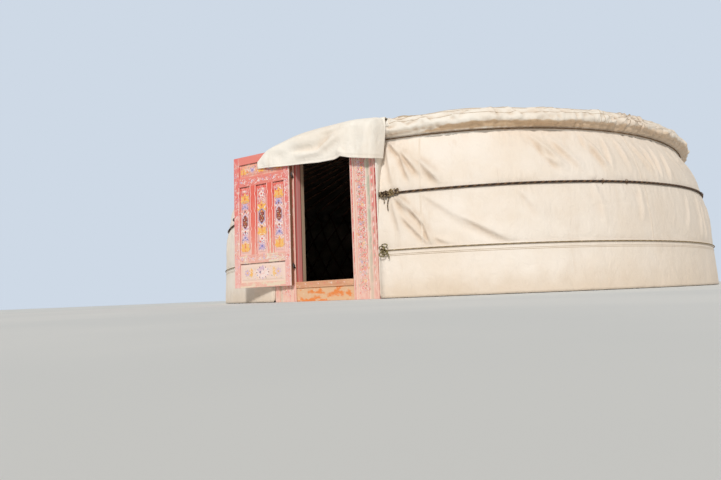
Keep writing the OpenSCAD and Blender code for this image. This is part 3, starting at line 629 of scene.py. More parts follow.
def wall_offset(angle, z):
    """How far the wall canvas stands out from its plain shape."""
    angle, z = np.broadcast_arrays(angle, z)
    rng = np.random.default_rng(23)
    mid_z = mid_rope_z(angle)
    pinch = 1.0
    for rope_z in (LOW_ROPE_Z, mid_z, TOP_ROPE_Z):
        pinch = pinch * (1 - 0.97 * bell(z - rope_z, 0.040))
    upper = np.sin(math.pi * np.clip((z - mid_z) / (TOP_ROPE_Z - mid_z), 0, 1))
    lower = np.sin(math.pi * np.clip((z - LOW_ROPE_Z) / (mid_z - LOW_ROPE_Z), 0, 1))
    arc = np.radians(angle) * FOOT_R
    puff = 0.008 * np.sqrt(upper) + 0.007 * np.sqrt(lower)
    slow = 0.004 * sines(arc, 5, 1.5, 7, rng) + 0.002 * sines(arc + 1.7 * z, 6, 9, 24, rng)
    close = np.exp(-(np.minimum(abs(z - mid_z), abs(z - TOP_ROPE_Z)) / 0.11))
    lean = 3.2 * (z - mid_z)
    gathers = np.zeros_like(arc)
    for place, width, height in ROPE_GATHERS:
        near = np.abs(angle - place) < 3
        gap = angle[near] - place - lean[near] * math.sin(place * 7)
        gathers[near] += height * bell(gap, width)
    total = (puff + slow + 0.0075 * gathers * close + fold_height(angle, z, WALL_FOLDS)) * pinch
    left_room = smooth_step(360 - angle, 13, 34)
    right_room = smooth_step(angle, 10.5, 13.5)
    return np.clip(total * (0.1 + 0.9 * left_room) * (0.35 + 0.65 * right_room), -0.008, 0.044)


def wall_points(angle, z, lift=0.0):
    return polar(angle, wall_r(z) + wall_offset(angle, z) + lift, z)


def edge_angle(z):
    """Angle at which the wall canvas meets the cloth strip beside the frame."""
    return np.degrees(np.arcsin(COVERED_X / wall_r(z)))


def make_wall(material, felt, seam_material):
    """Eight lengths of canvas sewn at the seams, finest where the camera sees them, over felt."""
    seams = WALL_SEAMS[1:]
    grids = [(300, 118), (210, 104)] + 6 * [(140, 72)]
    for k, (columns, rows) in enumerate(grids):
        levels = np.concatenate([
            np.linspace(CLOTH_FOOT_Z, 0.42, 12), np.linspace(0.432, CLOTH_HEAD_Z, rows)
        ])
        z = levels[:, None]
        first = [edge_angle(z), *seams][k]
        last = [*seams, 360 - edge_angle(z)][k]
        angle = first + (last - first) * np.linspace(0, 1, columns)[None, :]
        piece = add_grid(f"wall_canvas_{k + 1}", wall_points(angle, z), material)
        width = math.radians(np.mean(last - first)) * FOOT_R
        store_creases(piece.data, wall_offset(angle, z), width / (columns - 1), levels)
        if k < 6:
            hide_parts(f"wall_cover_{k + 1}")
    z = np.linspace(CLOTH_FOOT_Z, CLOTH_HEAD_Z, 14)[:, None]
    points = polar(np.linspace(11.6, 348.4, 200)[None, :], wall_r(z) - 0.010, z)
    thicken(add_grid("wall_felt", points, felt), 0.014)
    z = np.linspace(0.48, 1.57, 60)[:, None]
    # Section of a seam, across in degrees: a raised band with a stitched groove near each side
    across = np.array([-0.17, -0.15, -0.09, -0.08, -0.07, 0.07, 0.08, 0.09, 0.15, 0.17])[None, :]
    lift = np.array([-0.5, 2.0, 2.2, 0.8, 2.4, 2.4, 0.8, 2.2, 2.0, -0.5])[None, :] / 1000
    for number, place in enumerate(WALL_SEAMS):
        add_grid(f"wall_seam_{number + 1}", wall_points(place + across, z, lift), seam_material)


def make_skirt(material, thread):
    """Three lengths hung from the low rope, each with two stitched lines near its top."""
    ends = [11.2, 123, 237, 348.8]
    levels = np.concatenate([np.linspace(0.004, 0.10, 5), np.linspace(0.12, SKIRT_TOP, 23)])
    z = levels[:, None]
    press = 1 - 0.95 * bell(z - LOW_ROPE_Z, 0.03)
    hang = smooth_step(-z, -LOW_ROPE_Z, -0.05)
    across, lift = strip_section(0.0030, 0.0012, 0.0012, 0.0016)
    for k in range(3):
        angle = np.linspace(ends[k], ends[k + 1], 120)[None, :]
        arc = np.radians(angle) * FOOT_R
        rng = np.random.default_rng(60)
        room = 0.1 + 0.9 * smooth_step(360 - angle, 12, 26)
        ripple = 0.004 * sines(arc, 6, 6, 26, rng) + 0.003 * sines(arc, 6, 30, 70, rng)
        gather = 0.002 * sines(arc, 6, 60, 130, rng) * np.exp(-abs(z - LOW_ROPE_Z) / 0.05)
        off = 0.006 + (0.006 + ripple) * hang * room * press + gather * room * press
        piece = add_grid(f"skirt_cloth_{k + 1}", polar(angle, wall_r(z) + off, z), material)
        thicken(piece, 0.003)
        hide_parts(f"skirt_{k + 1}")
        for number, height in enumerate((0.398, 0.411)):
            line = height + across[:, None]
            radius = wall_r(line) + off[np.argmin(abs(levels - height))] + lift[:, None]
            add_grid(f"skirt_seam_{k + 1}_{number + 1}", polar(angle, radius, line), thread)


# Roof: slope, shoulder, tuck and hem as one profile

DOOR_HALF_ANGLE = 11.7


def roof_z(radius):
    return EAVES_Z + (LATTICE_HEAD_R - radius) * ROOF_TAN


def roof_profile():
    """Radius and height along the roof cloth from crown to hem, its normals, and the slope's rows."""
    centre = SHOULDER_R - SHOULDER_ROUND
    tangent = centre + SHOULDER_ROUND * math.sin(ROOF_SLOPE)
    shoulder_z = roof_z(tangent) - SHOULDER_ROUND * math.cos(ROOF_SLOPE)
    radii = np.concatenate([np.linspace(ROOF_INNER_R, 2.80, 26), np.linspace(2.85, tangent, 16)])
    slope = [(r, roof_z(r)) for r in radii]
    shoulder = [
        (centre + SHOULDER_ROUND * math.cos(t), shoulder_z + SHOULDER_ROUND * math.sin(t))
        for t in np.linspace(math.pi / 2 - ROOF_SLOPE, 0, 22)[1:]
    ]
    tuck = [
        (SHOULDER_R - TUCK_ROUND + TUCK_ROUND * math.cos(t), shoulder_z - TUCK_ROUND * math.sin(t))
        for t in np.linspace(0, TUCK_ANGLE, 13)[1:]
    ]
    seat = [(HEM_R, z) for z in np.linspace(shoulder_z - TUCK_ROUND, HEM_Z, 5)]
    line = np.array(slope + shoulder + tuck + seat)
    step = np.gradient(line, axis=0)
    step /= np.linalg.norm(step, axis=1)[:, None]
    return line, np.stack([-step[:, 1], step[:, 0]], axis=1), len(slope)


ROOF_LINE, ROOF_NORMAL, SLOPE_ROWS = roof_profile()
# Length along the profile, called run here, with 0 where the slope turns into the shoulder
ROOF_RUN = np.concatenate([[0], np.cumsum(np.linalg.norm(np.diff(ROOF_LINE, axis=0), axis=1))])
ROOF_RUN -= ROOF_RUN[SLOPE_ROWS - 1]


def star_folds(angle, run, reach, count, turn):
    """Creases that meet at one point, as a bunched or tied cloth shows."""
    folds = []
    for i in range(count):
        lean = 2 * math.pi * i / count + turn
        length = reach * (0.7 + 0.5 * ((i * 37) % 10) / 10)
        side, rise = math.degrees(length * math.sin(lean) / FOOT_R), length * math.cos(lean)
        start = (angle + 0.12 * side, run + 0.12 * rise)
        folds.append((*start, angle + side, run + rise, 0.008, 0.0105 - 0.003 * (i % 3)))
    return folds


def crumples():
    """Small creases of the cloth where it turns over the eaves, all the way round."""
    rng = np.random.default_rng(52)
    folds = []
    for low, high, count in ((12.5, 32, 30), (32, 50, 20), (50, 72, 30), (72, 347.5, 150)):
        for _ in range(count):
            angle, run = rng.uniform(low, high), rng.uniform(0.0, 0.18)
            length, lean = rng.uniform(0.08, 0.24), rng.normal(1.1, 0.5) * rng.choice([-1, 1])
            side = math.degrees(length * math.sin(lean) / FOOT_R)
            width, depth = rng.uniform(0.008, 0.018), rng.uniform(0.002, 0.006)
            folds.append((angle, run, angle + side, run + length * math.cos(lean), width, depth))
    return folds


def make_pleats():
    """Pleats below the shoulder, as place and width in degrees and depth."""
    rng = np.random.default_rng(77)
    pleats = []
    # Stretches of the eaves, with the step between pleats: closest where the photograph shows them so
    for low, high, step, depth in (
        (13, 44, 5.5, 0.007), (44, 53, 1.9, 0.015), (53, 68, 1.15, 0.021), (68, 90, 2.4, 0.014),
        (90, 150, 4.5, 0.012), (150, 215, 3.0, 0.014), (215, 290, 4.6, 0.011), (290, 347, 5.0, 0.009)
    ):
        angle = low
        while angle < high:
            place = angle + rng.uniform(-0.3, 0.3)
            pleats.append((place, rng.uniform(0.25, 0.7), depth * rng.uniform(0.5, 1.2)))
            angle += step * rng.uniform(0.6, 1.4)
    return pleats


# Creases of the roof cloth that show in the photograph: angle and run of both ends
ROOF_FOLDS = [
    (14.2, 0.02, 18.2, 0.05, 0.012, 0.006), (14.0, 0.10, 18.6, 0.06, 0.012, 0.007),
    (12.6, 0.03, 15.0, 0.14, 0.014, 0.008), (17.0, 0.10, 22.5, 0.15, 0.016, 0.006),
    (33.2, 0.03, 35.6, 0.19, 0.016, 0.012), (26.0, 0.08, 31.0, 0.04, 0.014, 0.007),
    (36.5, 0.05, 41.0, 0.09, 0.016, 0.008), (43.0, 0.05, 47.0, 0.12, 0.014, 0.007),
    (49.0, 0.02, 52.5, 0.16, 0.016, 0.010), (53.6, 0.06, 55.2, 0.27, 0.020, -0.016),
    (22.0, 0.12, 30.0, 0.10, 0.020, 0.008), (37.0, 0.16, 45.0, 0.12, 0.020, 0.007)
]
STAR_FOLDS = star_folds(57.6, 0.10, 0.15, 9, 0.3) + star_folds(61.0, 0.13, 0.14, 8, 0.7)
STAR_FOLDS += star_folds(152.0, 0.12, 0.14, 8, 0.5) + star_folds(246.0, 0.12, 0.15, 9, 0.2)
ROOF_FOLDS += STAR_FOLDS + crumples()
ROOF_PLEATS = make_pleats()
POLES_ROUND = 58


def roof_offset(angle, run):
    """Sag between the poles, soft waves, creases, and pleats below the shoulder."""
    angle, run = np.broadcast_arrays(angle, run)
    rng = np.random.default_rng(31)
    turn = np.radians(angle)
    arc = turn * 3.3
    from_crown = run - ROOF_RUN[0]
    poles = 0.5 - 0.5 * np.cos(turn * POLES_ROUND)
    sag = -0.006 * poles * smooth_step(-run, 0.0, 0.5) * smooth_step(from_crown, 0.1, 1.0)
    slow = 0.006 * sines(arc, 6, 2, 9, rng) * smooth_step(from_crown, 0.2, 1.2)
    bulge = 0.009 * sines(arc + 2.2 * run, 7, 3, 13, rng) * bell(run - 0.10, 0.08)
    pleats = np.zeros_like(turn)
    for place, width, depth in ROOF_PLEATS:
        pleats -= depth * bell(angle - place, width) * smooth_step(run, 0.14 - 8 * depth, 0.23)
    tight = smooth_step(run, 0.04, 0.24)
    fine = 0.0025 * sines(arc, 8, 50, 120, rng) * tight
    puff = 0.026 * bell(angle - 27.5, 6.5) * bell(run + 0.02, 0.22)
    edge = run + 0.016 * sines(arc, 5, 2, 8, rng)
    facet = 0.013 * bell(edge - 0.178, 0.030) - 0.012 * bell(edge - 0.232, 0.026)
    seen = fold_height(angle, run, ROOF_FOLDS)
    seat = 1 - 0.9 * smooth_step(run, 0.262, 0.275)
    total = (sag + slow * (1 - tight) + bulge + fine + pleats + puff + facet + seen) * seat - 0.002
    lowest = -0.009 - 0.021 * smooth_step(run, -0.02, 0.06)
    return np.clip(total, lowest, 0.028)


def roof_points(angle, run, lift=0.0):
    radius, height = (np.interp(run, ROOF_RUN, ROOF_LINE[:, k]) for k in (0, 1))
    out, up = (np.interp(run, ROOF_RUN, ROOF_NORMAL[:, k]) for k in (0, 1))
    off = roof_offset(angle, run) + lift
    return polar(angle, radius + out * off, height + up * off)


def add_roof(name, angle, run, material, lift=0.0):
    return add_grid(name, roof_points(angle, run, lift), material, "roof_canvas")


def make_roof(material, felt, thread):
    """Four sectors, the first finest because the camera sees it, over felt, with stitched lines."""
    ends = np.linspace(DOOR_HALF_ANGLE, 360 - DOOR_HALF_ANGLE, 5)
    span = math.radians(ends[1] - ends[0])
    width = span * SHOULDER_R
    run = ROOF_RUN[:, None]
    for k, columns in enumerate((560, 240, 240, 240)):
        angle = np.linspace(ends[k], ends[k + 1], columns)[None, :]
        piece = add_roof(f"roof_canvas_{k + 1}", angle, run, material)
        store_creases(piece.data, roof_offset(angle, run), width / (columns - 1), ROOF_RUN)
        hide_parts(f"roof_cover_{k + 1}")
    depth = 0.0115 + 0.0305 * smooth_step(ROOF_RUN, -0.25, 0.0)
    under = (ROOF_LINE - depth[:, None] * ROOF_NORMAL)[::4]
    angle = np.linspace(DOOR_HALF_ANGLE, 360 - DOOR_HALF_ANGLE, 241)[None, :]
    add_grid("roof_felt", polar(angle, under[:, :1], under[:, 1:]), felt, "roof_canvas")
    angle = np.linspace(-DOOR_HALF_ANGLE, DOOR_HALF_ANGLE, 20)[None, :]
    radii = np.linspace(ROOF_INNER_R + 0.01, 3.33, 12)[:, None]
    add_grid("door_roof_felt", polar(angle, radii, roof_z(radii) - 0.011), felt, "roof_canvas")
    angle = np.linspace(DOOR_HALF_ANGLE, 360 - DOOR_HALF_ANGLE, 700)[None, :]
    for number, (place, half) in enumerate(((0.012, 0.003), (0.040, 0.003), (0.118, 0.002))):
        across, lift = strip_section(half, 0.6 * half, 0.0006, 0.0026)
        add_roof(f"roof_seam_{number + 1}", angle, place + across[:, None], thread, lift[:, None])
    run = np.linspace(-0.06, 0.21, 70)[:, None]
    across, lift = strip_section(0.055, 0.03, 0.0008, 0.0024)
    for number, place in enumerate((50.1, 50.9, 51.7, 139.5, 140.3, 230.5, 231.3, 318.0)):
        add_roof(f"roof_cross_seam_{number + 1}", (place + across)[None, :], run, thread, lift[None, :])


def make_roof_creases(thread):
    """Two stitched creases that meet in a point, beside the door."""
    share = np.linspace(0, 1, 40)[None, :]
    across, lift = strip_section(0.0034, 0.0018, 0.0010, 0.0030)
    for number, side in enumerate((-1, 1)):
        run = 0.062 - 0.018 * (share - 0.5) + side * 0.026 * (1 - share) ** 0.7 + across[:, None]
        add_roof(f"roof_crease_{number + 1}", 14.6 + 3.3 * share, run, thread, lift[:, None])


def make_star_creases(material):
    """Thin dark strips of painted shade along the creases of the bunched cloth, tapered to both ends."""
    share = np.linspace(0, 1, 24)[None, :]
    half = 0.0042 * np.sin(math.pi * np.clip(share * 1.15, 0, 1)) ** 0.6
    section, lift = strip_section(1.0, 0.5, 0.0010, 0.0020)
    for number, (a0, run0, a1, run1, _, _) in enumerate(STAR_FOLDS):
        arc, rise = math.radians(a1 - a0) * FOOT_R, run1 - run0
        length = math.hypot(arc, rise)
        across = section[:, None] * half + 0.007 * math.sin(5.1 * number) * np.sin(math.pi * share)
        angle = a0 + (a1 - a0) * share + math.degrees(rise / length / FOOT_R) * across
        run = np.clip(run0 + rise * share - arc / length * across, -0.2, 0.236)
        add_roof(f"roof_star_shade_{number + 1}", angle, run, material, lift[:, None])


def make_door_roof(material):
    """The roof cloth over the door runs straight on to the header board."""
    half = DOOR_HALF_ANGLE + 1.3
    angle = np.linspace(-half, half, 80)[None, :]
    down = np.linspace(0, 1, 60)[:, None]
    reach = np.minimum((FRAME_FRONT - 0.042) / np.cos(np.radians(angle)), SHOULDER_R + 0.10)
    radius = ROOF_INNER_R + (reach - ROOF_INNER_R) * down
    wave = 0.004 * sines(angle / 6, 5, 2, 9, np.random.default_rng(8))
    wave = wave * smooth_step(down, 0.1, 0.4) * (1 - smooth_step(down, 0.9, 1))
    straight = polar(angle, radius, roof_z(radius) - 0.002 + wave)
    laid = roof_points(angle % 360, ROOF_RUN[0] + (0.15 - ROOF_RUN[0]) * down, 0.004)
    aside = smooth_step(abs(angle), DOOR_HALF_ANGLE - 1.6, DOOR_HALF_ANGLE + 0.8)[..., None]
    piece = add_grid("roof_canvas_door", straight * (1 - aside) + laid * aside, material, "roof_canvas")
    thicken(piece, 0.003)
    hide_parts("door_roof_cover")


# Cloth over the door

FLAP_TOP_S = [-0.825, -0.700, -0.657, -0.566, -0.348, -0.209, 0.0, 0.187, 0.433, 0.665, 0.905]
FLAP_TOP_Z = [1.664, 1.721, 1.738, 1.758, 1.797, 1.812, 1.816, 1.813, 1.809, 1.774, 1.776]
FLAP_CORNER = 0.676
# Folds of the hanging cloth: x and z of both ends, width and depth
FLAP_FOLDS = [
    (-0.66, 1.69, -0.36, 1.640, 0.060, 0.008), (-0.30, 1.66, 0.02, 1.660, 0.060, 0.010),
    (-0.28, 1.60, 0.03, 1.565, 0.034, -0.017), (0.02, 1.570, 0.19, 1.665, 0.034, -0.018),
    (-0.22, 1.530, 0.05, 1.520, 0.040, 0.016), (0.06, 1.530, 0.30, 1.640, 0.040, 0.016),
    (0.30, 1.44, 0.36, 1.70, 0.050, 0.009), (0.36, 1.43, 0.30, 1.50, 0.030, 0.012),
    (0.62, 1.66, 0.57, 1.40, 0.030, 0.006), (0.72, 1.66, 0.66, 1.40, 0.024, 0.006),
    (0.48, 1.72, 0.46, 1.46, 0.040, -0.006), (-0.70, 1.62, -0.68, 1.50, 0.040, 0.007),
    (-0.50, 1.60, -0.46, 1.48, 0.045, -0.006), (0.10, 1.725, 0.40, 1.735, 0.030, 0.005),
    (0.10, 1.700, 0.36, 1.710, 0.026, -0.004)
]
FLAP_HEM_S = [-0.83, -0.62, -0.429, -0.221, 0.044, 0.246, 0.320, 0.438, 0.60, 0.672, 0.82]
FLAP_HEM_Z = [1.498, 1.477, 1.459, 1.439, 1.412, 1.406, 1.423, 1.391, 1.352, 1.341, 1.360]
# Share of the cloth's length that lies on the roof, before it hangs
FLAP_ON_ROOF = 0.30


def flap_creases(s, z):
    total = 0.0
    for s0, z0, s1, z1, width, depth in FLAP_FOLDS:
        share, off = along_fold(s, z, s0, z0, s1, z1)
        ends = smooth_step(share, -0.4, 0.35) * smooth_step(-share, -1.4, -0.65)
        total = total + 1.7 * depth * ends * bell(off, np.where(off > 0, 1.5 * width, 0.9 * width))
    return total


def make_flap(material):
    """Cloth that lies on the roof, hangs over the lintel and turns back round the frame's corner.

    s is the width along the cloth: it equals x up to the corner, and runs back beyond it.
    """
    width, length, columns = 1.7, 0.76, 160
    hem_left, hem_right = -0.812, 0.820
    # Beyond the corner each metre of cloth runs this far to the side and back
    aside_x, back_y = 0.242, 0.97
    start_y, fold_y, hang_y = -3.06, -3.405, -3.461
    share = np.linspace(0, 1, columns)[None, :]
    down = np.linspace(0, 1, 76)[:, None]
    top_s = FLAP_TOP_S[0] + (FLAP_TOP_S[-1] - FLAP_TOP_S[0]) * share
    hem_s = hem_left + (hem_right - hem_left) * share
    padded = np.pad(np.interp(top_s, FLAP_TOP_S, FLAP_TOP_Z)[0], 4, mode="edge")
    top_z = np.convolve(padded, np.ones(9) / 9, mode="valid")[None, :]
    hem_z = np.interp(hem_s, FLAP_HEM_S, FLAP_HEM_Z)
    over = np.clip(down / FLAP_ON_ROOF, 0, 1)
    fall = np.clip((down - FLAP_ON_ROOF) / (1 - FLAP_ON_ROOF), 0, 1)
    s = top_s + (hem_s - top_s) * fall
    past = s - FLAP_CORNER
    beyond = 0.5 * (past + np.sqrt(past ** 2 + 0.03 ** 2))
    x = s - beyond + aside_x * beyond
    fold_y = fold_y + 0.74 * beyond
    hang_y = hang_y + back_y * beyond
    start_z = roof_z(np.hypot(x, start_y)) + 0.007
    drop = (top_z - hem_z) * fall
    on_roof = down < FLAP_ON_ROOF
    z = np.where(on_roof, start_z + (top_z - start_z) * over, top_z - drop)
    z = z - 0.010 * bell(down - FLAP_ON_ROOF, 0.03)
    hanging_y = hang_y + (fold_y - hang_y) * np.exp(-(drop / 0.05) ** 1.5)
    y = np.where(on_roof, start_y + (fold_y - start_y) * over, hanging_y)
    wave = 0.016 + 0.004 * sines(s + 0.4 * z, 5, 8, 24, np.random.default_rng(3))
    out = (np.clip(flap_creases(s, z), -0.026, 0.032) + wave) * smooth_step(fall, 0.02, 0.22)
    out = out - 0.003 * bell(down - 0.955, 0.012)
    aside = 0.97 * smooth_step(s, FLAP_CORNER - 0.03, FLAP_CORNER + 0.06)
    x = x + aside * out * 0.5
    y = y - (1 - aside) * out
    clear = np.where(z > 1.58, SHOULDER_R + 0.034, SHOULDER_R - 0.02)
    y = np.where((s > 0.6) & (down > 0.2), np.minimum(y, -np.sqrt(clear ** 2 - x ** 2)), y)
    piece = add_grid("door_flap_cloth", np.stack([x, y, z], axis=-1), material)
    store_creases(piece.data, out, width / (columns - 1), down[:, 0] * length)
    thicken(piece, 0.003, 1.0)
    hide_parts("door_flap")


def make_crown_cloth(material):
    """Half square folded over the rear half of the crown: dome, rim and roof slope."""
    reach, front_y = 1.33, 0.012
    rim_r, rim_z = 0.70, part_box("crown_ring")[1].z + 0.004
    dome_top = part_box("crown_spokes")[1].z + 0.006
    dome_rim, dome_rise = 0.5997, 0.110
    dome_r = (dome_rim ** 2 + dome_rise ** 2) / (2 * dome_rise)
    share = np.linspace(-1, 1, 80)[None, :]
    back = np.linspace(0, 1, 44)[:, None]
    x = share * (reach - 0.985 * reach * back)
    y = front_y + (reach - front_y) * back
    radius = np.hypot(x, y)
    dome = dome_top - dome_r + np.sqrt(np.maximum(dome_r ** 2 - radius ** 2, 0))
    slope = roof_z(np.maximum(radius, rim_r)) + 0.009
    over = smooth_step(radius, 0.60, 0.80)
    z = np.where(radius < 0.60, dome, (1 - over) * rim_z + over * slope)
    z = np.maximum(z, np.where(radius < 0.72, rim_z, 0))
    pull = 0.006 * sines(np.arctan2(y, x), 6, 6, 22, np.random.default_rng(12))
    z = z + 0.006 + abs(pull * smooth_step(radius, 0.15, 0.9))
    points = np.stack(np.broadcast_arrays(x, y, z), axis=-1)
    piece = add_grid("crown_cloth", points, material, "roof_canvas")
    thicken(piece, 0.008, 1.0)
    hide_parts("crown_cover")


# Ropes

STRANDS = 3


def twisted_tube(name, path, diameter, lay_length, materials, sides=9):
    """Tube whose section has one lobe for each strand and turns along the path."""
    tangent = np.gradient(path, axis=0)
    tangent /= np.linalg.norm(tangent, axis=1)[:, None]
    side = np.cross(tangent, np.array([0.0, 0.0, 1.0]))
    upright = np.linalg.norm(side, axis=1) < 0.2
    side[upright] = np.cross(tangent[upright], np.array([1.0, 0.0, 0.0]))
    side /= np.linalg.norm(side, axis=1)[:, None]
    top = np.cross(side, tangent)
    travel = np.concatenate([[0], np.cumsum(np.linalg.norm(np.diff(path, axis=0), axis=1))])
    turn = np.linspace(0, 2 * math.pi, sides, endpoint=False)[:, None]
    spin = 2 * math.pi * travel[None, :] / lay_length
    lobe = np.abs(np.cos(STRANDS / 2 * (turn - spin)))
    radius = diameter / 2 * (0.66 + 0.34 * lobe ** 0.7)
    ring = radius[..., None] * (np.cos(turn)[..., None] * side + np.sin(turn)[..., None] * top)
    mesh = grid_mesh(name, (path[None] + ring).transpose(1, 0, 2), closed=True)
    piece = add_object(name, mesh, materials[0], "yurt", "rope")
    mesh.materials.append(materials[1])
    # Each face takes the strand that its middle lies on, and every second strand is lighter
    middle = turn + math.pi / sides - (spin + (spin[0, 1] - spin[0, 0]) / 2)
    strand = np.round(middle * STRANDS / (2 * math.pi)).astype(int) % STRANDS
    light = (strand % 2 == 1).T[:-1].astype(np.int32)
    mesh.polygons.foreach_set("material_index", light.ravel())
    made = bmesh.new()
    made.from_mesh(mesh)
    bmesh.ops.holes_fill(made, edges=[e for e in made.edges if e.is_boundary], sides=0)
    made.to_mesh(mesh)
    made.free()
    return piece


def wall_path(angle, z, out):
    """Points of a path on the wall's plain surface, lifted by out."""
    return polar(angle, wall_r(z) + out, z)


def make_ropes(thin, thick, pale):
    top_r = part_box("top_rope")[1].y - 0.008
    low_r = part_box("low_rope")[1].y - 0.009
    angle = np.linspace(11.7, 348.3, 2400)
    middle_path = wall_path(angle, mid_rope_z(angle), 0.0125)
    for name, path, diameter, lay_length, materials, sides in (
        ("top_rope", polar(np.linspace(12.0, 348.0, 2200), top_r, TOP_ROPE_Z), 0.013, 0.075, thin, 6),
        ("low_rope", polar(np.linspace(11.6, 348.7, 2200), low_r, LOW_ROPE_Z), 0.012, 0.075, pale, 6),
        ("middle_rope", middle_path, 0.024, 0.070, (thick[0], thin[0]), 9)
    ):
        piece = twisted_tube(f"{name}_twist", path, diameter, lay_length, materials, sides)
        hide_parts(name)


def wrapped_end(first, last, phase):
    """A rope laid back along itself and wound round the middle rope."""
    angle = np.linspace(first, last, 90)
    run = np.linspace(0, 1, 90) * math.radians(abs(last - first)) * FOOT_R
    turn = 2 * math.pi * run / 0.062 + phase
    return wall_path(angle, mid_rope_z(angle) + 0.017 * np.sin(turn), 0.022 + 0.009 * np.cos(turn))


# Place in degrees from the door, height over the rope, half width, half height and phase
KNOT_LUMPS = (
    (11.85, -0.006, 0.026, 0.022, 0.3), (12.75, -0.004, 0.026, 0.028, 1.7),
    (13.50, 0.008, 0.022, 0.030, 2.9), (14.30, 0.014, 0.026, 0.024, 4.4)
)


def aside_path(angle, shift, z, out):
    """A path beside one place on the wall: shift is a length along the wall."""
    return wall_path(angle + np.degrees(shift / FOOT_R), z, out)


def knot_lump(angle, z, wide, tall, phase):
    """A rope end that crosses over itself a few times on the wall."""
    t = np.linspace(0, 3.4 * math.pi, 110)
    shift = wide * np.sin(t + phase) * (0.8 + 0.2 * np.cos(2.3 * t))
    height = z + tall * np.sin(1.55 * t + phase)
    return aside_path(angle, shift, height, 0.030 + 0.011 * np.cos(2.6 * t + phase))


def knot_wraps(angle, z, out, wide, tall, turns):
    """Turns of rope round the end, beside each other along the wall."""
    t = np.linspace(0, turns * 2 * math.pi, int(turns * 16))
    return aside_path(angle, wide * (t / t[-1] - 0.5), z + tall * np.sin(t), out + 0.35 * tall * np.cos(t))


def bow_loop(angle, z, out, wide, tall):
    t = np.linspace(0.3, 2 * math.pi + 0.1, 60)
    return aside_path(angle, wide * np.sin(2 * t), z + tall * np.sin(t), out + 0.006 * np.cos(t))


def tail_path(angle, z, out, drop, drift):
    t = np.linspace(0, 1, 30)
    away = out - 0.010 * smooth_step(t, 0, 0.4) + 0.004 * np.sin(t * 4)
    return aside_path(angle, drift * np.sin(t * 2.2), z - drop * t, away)


def holding_loop(angle):
    """A short loop that holds the middle rope to the cloth."""
    t = np.linspace(0, 2 * math.pi, 40)
    out = 0.012 + 0.017 * np.sin(t) * np.where(np.sin(t) > 0, 1, 0.3)
    return aside_path(angle, 0.004 * np.cos(t), mid_rope_z(angle) + 0.024 * np.cos(t), out)


def make_knots(thin, thick, pale, green):
    for side, base, name in ((1, 0, "right"), (-1, 360, "left")):
        for number in range(2):
            path = wrapped_end(base + side * 11.5, base + side * 13.0, math.pi * number)
            piece = twisted_tube(f"rope_wrap_{name}_{number + 1}", path, 0.017, 0.05, thick)
            if side > 0 and number == 0:
                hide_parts("rope_knots")
        for number, (place, lift, wide, tall, phase) in enumerate(KNOT_LUMPS):
            path = knot_lump(base + side * place, MID_FRONT_Z + lift, wide, tall, phase)
            colours = pale if number == 2 else thick
            twisted_tube(f"rope_knot_{name}_{number + 1}", path, 0.014, 0.04, colours)
        for kind, place, drop, drift in (("tail", 13.2, 0.150, -0.022), ("short_tail", 12.0, 0.075, 0.018)):
            path = tail_path(base + side * place, MID_FRONT_Z - 0.018, 0.030, drop, drift)
            twisted_tube(f"rope_{kind}_{name}", path, 0.011, 0.035, thick)
    path = knot_wraps(11.9, LOW_ROPE_Z, 0.036, 0.030, 0.017, 3.2)
    twisted_tube("low_rope_knot", path, 0.013, 0.035, thick)
    for number, (place, lift, out) in enumerate(((12.25, 0.010, 0.042), (11.85, -0.010, 0.048))):
        path = bow_loop(place, LOW_ROPE_Z + lift, out, 0.028, 0.048)
        twisted_tube(f"low_rope_loop_{number + 1}", path, 0.012, 0.03, green)
    path = tail_path(12.4, LOW_ROPE_Z - 0.01, 0.046, 0.07, 0.03)
    twisted_tube("low_rope_tail", path, 0.011, 0.03, green)
    for number, angle in enumerate((47.5, 52.4, 83, 118, 160, 200, 238, 276, 318)):
        twisted_tube(f"rope_loop_{number + 1}", holding_loop(angle), 0.005, 0.02, thin)


# Ornament painted on the door: thin raised shapes grouped by colour


class Paint:
    """Collects flat shapes of one colour, lifted slightly off a face."""

    def __init__(self):
        self.verts, self.faces = [], []

    def shape(self, outline, lay, low, high):
        """outline is points (u, z); lay turns (u, depth, z) into the row's frame."""
        count, start = len(outline), len(self.verts)
        for depth in (low, high):
            self.verts += [lay(u, depth, z) for u, z in outline]
        self.faces.append([start + i for i in range(count)][::-1])
        self.faces.append([start + count + i for i in range(count)])
        for i in range(count):
            j = (i + 1) % count
            self.faces.append([start + i, start + j, start + count + j, start + count + i])

    def make(self, name, material, body, slot):
        mesh = bpy.data.meshes.new(name)
        mesh.from_pydata([tuple(v) for v in self.verts], [], self.faces)
        mesh.update()
        made = bmesh.new()
        made.from_mesh(mesh)
        bmesh.ops.recalc_face_normals(made, faces=made.faces)
        made.to_mesh(mesh)
        made.free()
        add_object(name, mesh, material, body, slot, smooth=False)


def petal(u, z, length, width, turn, steps=4):
    """Pointed petal from (u, z) outward; turn in degrees from straight up."""
    lean = math.radians(turn)
    sin, cos = math.sin(lean), math.cos(lean)
    shares = [i / steps for i in range(steps)]
    points = []
    for side, run in ((1, shares), (-1, [1 - share for share in shares])):
        for share in run:
            half = side * width / 2 * math.sin(math.pi * share ** 0.8)
            points.append((u + sin * length * share + cos * half, z + cos * length * share - sin * half))
    return points


def disc(u, z, width, height, steps=9):
    turns = [2 * math.pi * i / steps for i in range(steps)]
    return [(u + width / 2 * math.cos(turn), z + height / 2 * math.sin(turn)) for turn in turns]


def lens(u, z, width, height, steps=3):
    """Pointed oval that stands upright."""
    right = []
    for i in range(steps + 1):
        half = width / 2 * math.cos(math.pi * (i / steps - 0.5)) ** 1.3
        right.append((u + half, z - height / 2 + height * i / steps))
    return right + [(2 * u - x, y) for x, y in reversed(right[1:-1])]


